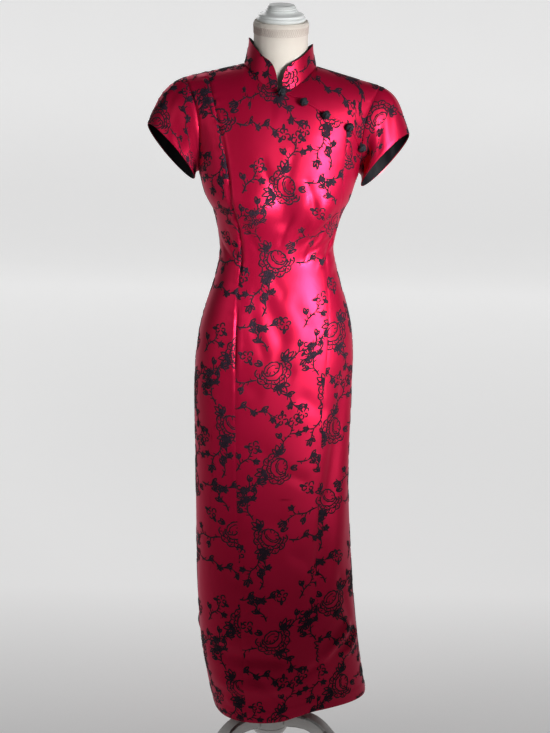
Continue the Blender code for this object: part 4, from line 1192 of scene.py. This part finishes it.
# The knot buttons: black cord plaited into a ball over a small core, sewn on the overlap's
# edge; each goes through a loop that is hidden behind it.
KNOT_RADIUS = 0.0072
KNOT_CORD = 0.0016
KNOT_TURNS = 3
KNOT_SCALLOPS = 5
KNOT_POINTS = 150
knot_cord, shader, wire = finish_of(
    "black_knot_cord", {"Specular IOR Level": 0.2}
)
place = wire.in_space()
plait = place.noise(1300.0, 2.0)
paint(plait, shader, (0.004, 0.005, 0.007), (0.022, 0.025, 0.033), 0.2, 0.5)
feed(relief(wire, plait, 0.0004, 0.9), shader, "Normal")
for number in range(1, 6):
    low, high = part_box("button_" + str(number))
    heart = (low + high) / 2.0
    facing = Vector((heart.x - AXIS_X, heart.y - AXIS_Y - 0.03, 0.05)).normalized()
    turn = Vector((0.0, 0.0, 1.0)).rotation_difference(facing).to_matrix()
    path = []
    for k in range(KNOT_POINTS):
        t = 2.0 * math.pi * k / KNOT_POINTS
        lean = 1.12 * math.cos(KNOT_SCALLOPS * t)
        reach = KNOT_RADIUS + 0.55 * KNOT_CORD * math.sin(2 * KNOT_SCALLOPS * t + 0.3)
        around = KNOT_TURNS * t + 0.4 * number
        path.append(heart + turn @ Vector((math.cos(around) * math.cos(lean),
                                           math.sin(around) * math.cos(lean),
                                           0.92 * math.sin(lean))) * reach)
    knot = rolled_cord("knot_" + str(number), path, KNOT_CORD, 2, knot_cord, closed=True)
    bm = bmesh.new()
    bm.from_mesh(knot.data)
    bmesh.ops.create_icosphere(bm, subdivisions=3, radius=KNOT_RADIUS, matrix=Matrix.Translation(heart))
    bm.to_mesh(knot.data)
    bm.free()
    knot.data.shade_smooth()
    settle(knot, "button_" + str(number))


# The dress form: a padded shape under a cream cotton jersey cover. The cover's neck is
# sewn up at its side, edged with a lace band and drawn in under a turned wooden cap.
NECK_TOP = 1.6
NECK_LEAN = 0.03
NECK_TILT = 0.17
NECK_SUNK = 0.06
NECK_RADIUS = 0.053
NECK_BASE_RADIUS = 0.06
NECK_SIDES = 121
jersey, shader, wire = finish_of(
    "cream_jersey", {"Specular IOR Level": 0.3, "Sheen Weight": 0.25, "Sheen Roughness": 0.6}
)
place = wire.in_space()
soft = place.noise(14.0, 3.0)
knit = place.node("ShaderNodeTexWave", {"bands_direction": "X"},
                  {"Vector": place, "Scale": 420.0, "Distortion": 0.6})
feed((soft * 0.8 + knit * 0.1).blend((0.54, 0.48, 0.42), (0.76, 0.71, 0.64)), shader, "Base Color")
feed(soft * 0.1 + 0.72, shader, "Roughness")
feed(relief(wire, knit * 0.5 + place.noise(700.0, 2.0), 0.0003, 0.5), shader, "Normal")
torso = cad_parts["form_torso"]
torso.data.materials.clear()
torso.data.materials.append(jersey)

turns = np.linspace(-math.pi, math.pi, NECK_SIDES)[None, :]
rises = np.linspace(0.42, 1.0, 44)[:, None]
radius = mix(NECK_BASE_RADIUS, NECK_RADIUS, np.sin(np.minimum(1.0, rises * 1.6) * math.pi / 2.0)) + 0.0007
radius = radius + 0.0012 * np.exp(-((rises - 0.955) / 0.03) ** 2) - 0.003 * ease((rises - 0.975) / 0.03)
radius = radius + 0.0003 * np.sin(turns * 31.0) * np.exp(-((rises - 0.93) / 0.05) ** 2)
tilt = np.array([0.0, -1.0, -NECK_TILT]) / math.hypot(1.0, NECK_TILT)
base = np.array([NECK_X, SHOULDER_LINE_Y, SHOULDER_LINE_Z - NECK_SUNK])
crown = np.array([NECK_X, SHOULDER_LINE_Y - NECK_LEAN, NECK_TOP])
centre = mix(base, crown, rises[..., None]) + AXIS
places = centre + (radius * np.sin(turns))[..., None] * np.array([1.0, 0.0, 0.0])
places = places + (radius * np.cos(turns))[..., None] * tilt
neck_cover = cloth_shell("neck_cover", places, jersey, 0.0004)
settle(neck_cover)

LACE_LOW = 0.0645
LACE_HIGH = 0.0775
LACE_STEP = 0.0046
lace_thread, shader, wire = finish_of("lace_thread", {"Sheen Weight": 0.3, "Specular IOR Level": 0.3})
place = wire.in_space()
fuzz = place.noise(900.0, 2.0)
paint(fuzz, shader, (0.42, 0.34, 0.3), (0.64, 0.56, 0.51), 0.2, 0.6)
strokes = []
for k in range(-37, 37):
    left = k * LACE_STEP
    for level, dip in ((LACE_LOW, -0.003), (LACE_HIGH, 0.0016)):
        strokes.append(Stroke(complex(left, level), complex(left + LACE_STEP / 2, level + dip),
                              complex(left + LACE_STEP, level), 0.001))
    strokes.append(Stroke(complex(left, LACE_LOW), complex(left + 0.0034, (LACE_LOW + LACE_HIGH) / 2),
                          complex(left, LACE_HIGH), 0.0007))
    strokes.append(Stroke(complex(left + LACE_STEP, LACE_LOW),
                          complex(left + 0.0012, (LACE_LOW + LACE_HIGH) / 2),
                          complex(left + LACE_STEP, LACE_HIGH), 0.0007))
lace = threads_on("neck_lace", places, strokes, lace_thread)
settle(lace)
seam = [Stroke(complex(0.0755, 0.002 + 0.0035 * k), complex(0.0759, 0.004 + 0.0035 * k),
               complex(0.0755, 0.0055 + 0.0035 * k), 0.0008) for k in range(22)]
neck_seam = threads_on("neck_seam", places, seam, lace_thread)
settle(neck_seam)


# The cap of the form's neck: a wooden turning with a beaded lower ring, a cove and a small
# drum above it, sprayed in white gloss.
gloss, shader, wire = finish_of("white_gloss_paint", {
    "Coat Weight": 0.4, "Coat Roughness": 0.12, "Specular IOR Level": 0.5
})
place = wire.in_space()
brushed = place.noise(20.0, 4.0)
paint(brushed, shader, (0.68, 0.71, 0.7), (0.82, 0.84, 0.83), 0.15, 0.22)
feed(relief(wire, place.noise(160.0, 3.0), 0.0004, 0.35), shader, "Normal")
CAP = [
    (-0.001, 0.0), (-0.001, 0.044), (0.0005, 0.0466), (0.0025, 0.0482),
    (0.0048, 0.0488), (0.0068, 0.048), (0.008, 0.0462), (0.0086, 0.0448),
    (0.0096, 0.0446), (0.0106, 0.0452), (0.012, 0.045), (0.0132, 0.0438),
    (0.014, 0.0418), (0.015, 0.038), (0.0166, 0.0345), (0.0186, 0.0322),
    (0.0196, 0.0312), (0.02, 0.0318), (0.0212, 0.0318), (0.0218, 0.0306),
    (0.024, 0.0292), (0.0246, 0.0296), (0.0256, 0.0294), (0.0262, 0.0282),
    (0.029, 0.0272), (0.0302, 0.0262), (0.0308, 0.024), (0.031, 0.0),
]


def turning(name, profile, seat, axis, steps, material):
    """A turned piece: its profile, rows of height and radius, spun once round its axis."""
    bm = bmesh.new()
    line = [bm.verts.new((radius, 0.0, up)) for up, radius in profile]
    chain = [bm.edges.new(pair) for pair in zip(line, line[1:])]
    bmesh.ops.spin(bm, geom=line + chain, cent=(0, 0, 0), axis=(0, 0, 1), angle=2.0 * math.pi, steps=steps,
                   use_merge=True)
    bmesh.ops.remove_doubles(bm, verts=bm.verts, dist=1e-6)
    bmesh.ops.recalc_face_normals(bm, faces=bm.faces)
    turn = Vector((0.0, 0.0, 1.0)).rotation_difference(axis).to_matrix()
    bmesh.ops.rotate(bm, verts=bm.verts, cent=(0, 0, 0), matrix=turn)
    bmesh.ops.translate(bm, verts=bm.verts, vec=seat)
    return shape_from(name, bm, material, 50.0)


seat = Vector(crown) + Vector(AXIS)
cap = turning("neck_cap", CAP, seat, Vector((0.0, -NECK_TILT, 1.0)).normalized(), 64, gloss)
settle(cap, "form_cap")


# The stand: a steel tube up the middle, held in a turned hub with three bent wooden legs,
# all painted white.
painted_wood, shader, wire = finish_of("white_painted_wood", {
    "Coat Weight": 0.25, "Coat Roughness": 0.2, "Specular IOR Level": 0.45
})
place = wire.in_space()
streak = place.node("ShaderNodeMapping", {}, {"Vector": place, "Scale": (6.0, 6.0, 40.0)}).noise(4.0, 4.0)
paint(streak, shader, (0.62, 0.61, 0.59), (0.8, 0.79, 0.77), 0.15, 0.3)
feed(relief(wire, streak, 0.0006, 0.35), shader, "Normal")
HUB = [
    (0.055, 0.0), (0.055, 0.026), (0.059, 0.033), (0.065, 0.0375),
    (0.07, 0.0395), (0.076, 0.04), (0.077, 0.0388), (0.079, 0.0388),
    (0.08, 0.04), (0.112, 0.04), (0.113, 0.0386), (0.1155, 0.0386),
    (0.1165, 0.04), (0.128, 0.0396), (0.134, 0.037), (0.139, 0.032),
    (0.143, 0.0285), (0.145, 0.0296), (0.149, 0.03), (0.153, 0.0288),
    (0.157, 0.024), (0.16, 0.02), (0.16, 0.0),
]
foot = Vector(AXIS)
hub = turning("stand_hub", HUB, foot, Vector((0.0, 0.0, 1.0)), 64, painted_wood)
settle(hub, "form_hub")
enamel, shader, wire = finish_of("white_enamelled_steel", {"Coat Weight": 0.5, "Coat Roughness": 0.1})
place = wire.in_space()
speck = place.noise(60.0, 4.0)
paint(speck, shader, (0.66, 0.66, 0.66), (0.78, 0.78, 0.78), 0.15, 0.2)
POLE = [
    (0.16, 0.0), (0.16, 0.019), (0.1608, 0.02), (0.179, 0.02),
    (0.18, 0.0192), (0.18, 0.014), (0.78, 0.014), (0.78, 0.023),
    (0.7812, 0.024), (0.7985, 0.024), (0.7985, 0.0),
]
pole = turning("stand_pole", POLE, foot, Vector((0.0, 0.0, 1.0)), 48, enamel)
settle(pole, "form_pole")

LegRow = namedtuple("LegRow", "out up")
LEG = [
    LegRow(0.0385, 0.095), LegRow(0.07, 0.098), LegRow(0.098, 0.095), LegRow(0.12, 0.082), LegRow(0.14, 0.062),
    LegRow(0.163, 0.042), LegRow(0.192, 0.027), LegRow(0.225, 0.018), LegRow(0.25, 0.015), LegRow(0.3, 0.015),
]
LEG_WIDTH = 0.034
LEG_DEPTH = 0.03
LEG_ROUNDING = 0.0055
FIRST_LEG = 220.0
outs = np.linspace(LEG[0].out, LEG[-1].out, 30)
ups = read_row(LEG, "up", outs)
for number in range(3):
    turn = math.radians(FIRST_LEG + 120.0 * number)
    out = Vector((math.cos(turn), math.sin(turn), 0.0))
    across = Vector((-math.sin(turn), math.cos(turn), 0.0)) * LEG_WIDTH / 2.0
    bm = bmesh.new()
    bmesh.ops.create_grid(bm, x_segments=1, y_segments=1, size=1.0)
    bm.faces.ensure_lookup_table()
    end = bm.faces[0]
    slopes = np.arctan2(np.gradient(ups), np.gradient(outs))
    for k, (reach, level, slope) in enumerate(zip(outs, ups, slopes)):
        if k:
            end = [item for item in bmesh.ops.extrude_face_region(bm, geom=[end])["geom"]
                   if isinstance(item, bmesh.types.BMFace)][0]
        slope = 0.0 if k in (0, len(outs) - 1) else slope
        half = Vector((0.0, 0.0, math.cos(slope))) - out * math.sin(slope)
        half *= LEG_DEPTH / 2.0
        centre = foot + out * reach + Vector((0.0, 0.0, level))
        corners = (centre - half - across, centre - half + across,
                   centre + half + across, centre + half - across)
        for vert, corner in zip(end.verts, corners):
            vert.co = corner
    bmesh.ops.recalc_face_normals(bm, faces=bm.faces)
    long_edges = [edge for edge in bm.edges if len(edge.link_faces) == 2 and edge.calc_face_angle(0.0) > 1.2]
    bmesh.ops.bevel(bm, geom=long_edges, offset=LEG_ROUNDING, affect="EDGES", segments=4,
                    profile=0.5, material=-1)
    leg = shape_from("stand_leg_" + str(number + 1), bm, painted_wood, 45.0)
    settle(leg, "form_leg_" + str(number + 1))


# The camera stands in front of the dress at the height of its collar and looks down a little.
SENSOR = 36.0
FOCAL_PIXELS = 1473.0
PICTURE_HEIGHT = 733.0
camera_data = bpy.data.cameras.new("view")
camera_data.sensor_fit = "VERTICAL"
camera_data.sensor_height = SENSOR
camera_data.lens = SENSOR * FOCAL_PIXELS / PICTURE_HEIGHT
camera = in_scene("view", camera_data)
camera.matrix_world = (
    Matrix.Translation((AXIS_X - 0.004, AXIS_Y - 3.0, 1.63))
    @ Matrix.Rotation(math.radians(90.0 - 13.8), 4, "X")
    @ Matrix.Rotation(math.radians(1.2), 4, "Z")
)
bpy.context.scene.camera = camera

# The studio: a pale paper sweep, floor and wall in one, and one tall soft window light on
# the viewer's right, with a weak fill on the left.
world = bpy.data.worlds.new("studio")
bpy.context.scene.world = world
world.use_nodes = True
world.node_tree.nodes["Background"].inputs["Color"].default_value = (1.0, 0.98, 0.97, 1.0)
world.node_tree.nodes["Background"].inputs["Strength"].default_value = 0.1
bpy.context.scene.view_settings.view_transform = "Standard"


def lamp(name, spot, aim, width, height, power, spread):
    data = bpy.data.lights.new(name, "AREA")
    data.spread = math.radians(spread)
    data.shape = "RECTANGLE"
    data.size = width
    data.size_y = height
    data.energy = power
    made = in_scene(name, data)
    made.location = spot
    made.rotation_euler = (Vector(aim) - Vector(spot)).to_track_quat("-Z", "Y").to_euler()


lamp("window", (1.7, -2.1, 1.38), (0.0, 0.0, 1.15), 1.5, 0.6, 10.0, 26.0)
lamp("fill", (-2.6, -1.6, 1.6), (0.0, 0.0, 1.0), 1.2, 1.4, 4.0, 120.0)
lamp("behind", (-0.8, 1.8, 2.6), (0.0, 0.0, 1.2), 1.2, 1.2, 3.0, 120.0)

SWEEP_BACK = 5.6
SWEEP_BEND = 1.0
SWEEP_LENGTH = 18.0
SWEEP_AHEAD = 6.0
SWEEP_HALF_WIDTH = 8.0
paper, shader, wire = finish_of("pale_paper_painted_glow", {"Roughness": 0.9, "Emission Strength": 1.0})
place = wire.in_space()
# The paper glows with a painted light of its own. The glow is faint in front of the dress and rises to an even
# glow from just behind it back to the wall.
depth = wire.node("ShaderNodeSeparateXYZ", {}, {"Vector": place}, 1)
near = depth.node("ShaderNodeMapRange", {"clamp": True}, {"Value": depth, "From Min": -0.6, "From Max": 0.9})
feed(place.noise(3.0).blend((0.6, 0.6, 0.6), (0.64, 0.64, 0.64)), shader, "Base Color")
feed(near.blend((0.12, 0.12, 0.12), (0.56, 0.56, 0.56)), shader, "Emission Color")
bm = bmesh.new()
bmesh.ops.create_grid(bm, x_segments=12, y_segments=80, size=1.0)
for vert in bm.verts:
    run = (vert.co.y + 1.0) / 2.0 * SWEEP_LENGTH - SWEEP_AHEAD
    turn = min(math.pi / 2.0, max(0.0, (run - SWEEP_BACK) / SWEEP_BEND))
    over = max(0.0, run - SWEEP_BACK - SWEEP_BEND * math.pi / 2.0)
    y = min(run, SWEEP_BACK) + SWEEP_BEND * math.sin(turn)
    vert.co = (vert.co.x * SWEEP_HALF_WIDTH, y, SWEEP_BEND * (1.0 - math.cos(turn)) + over)
sweep = shape_from("paper_sweep", bm, paper)
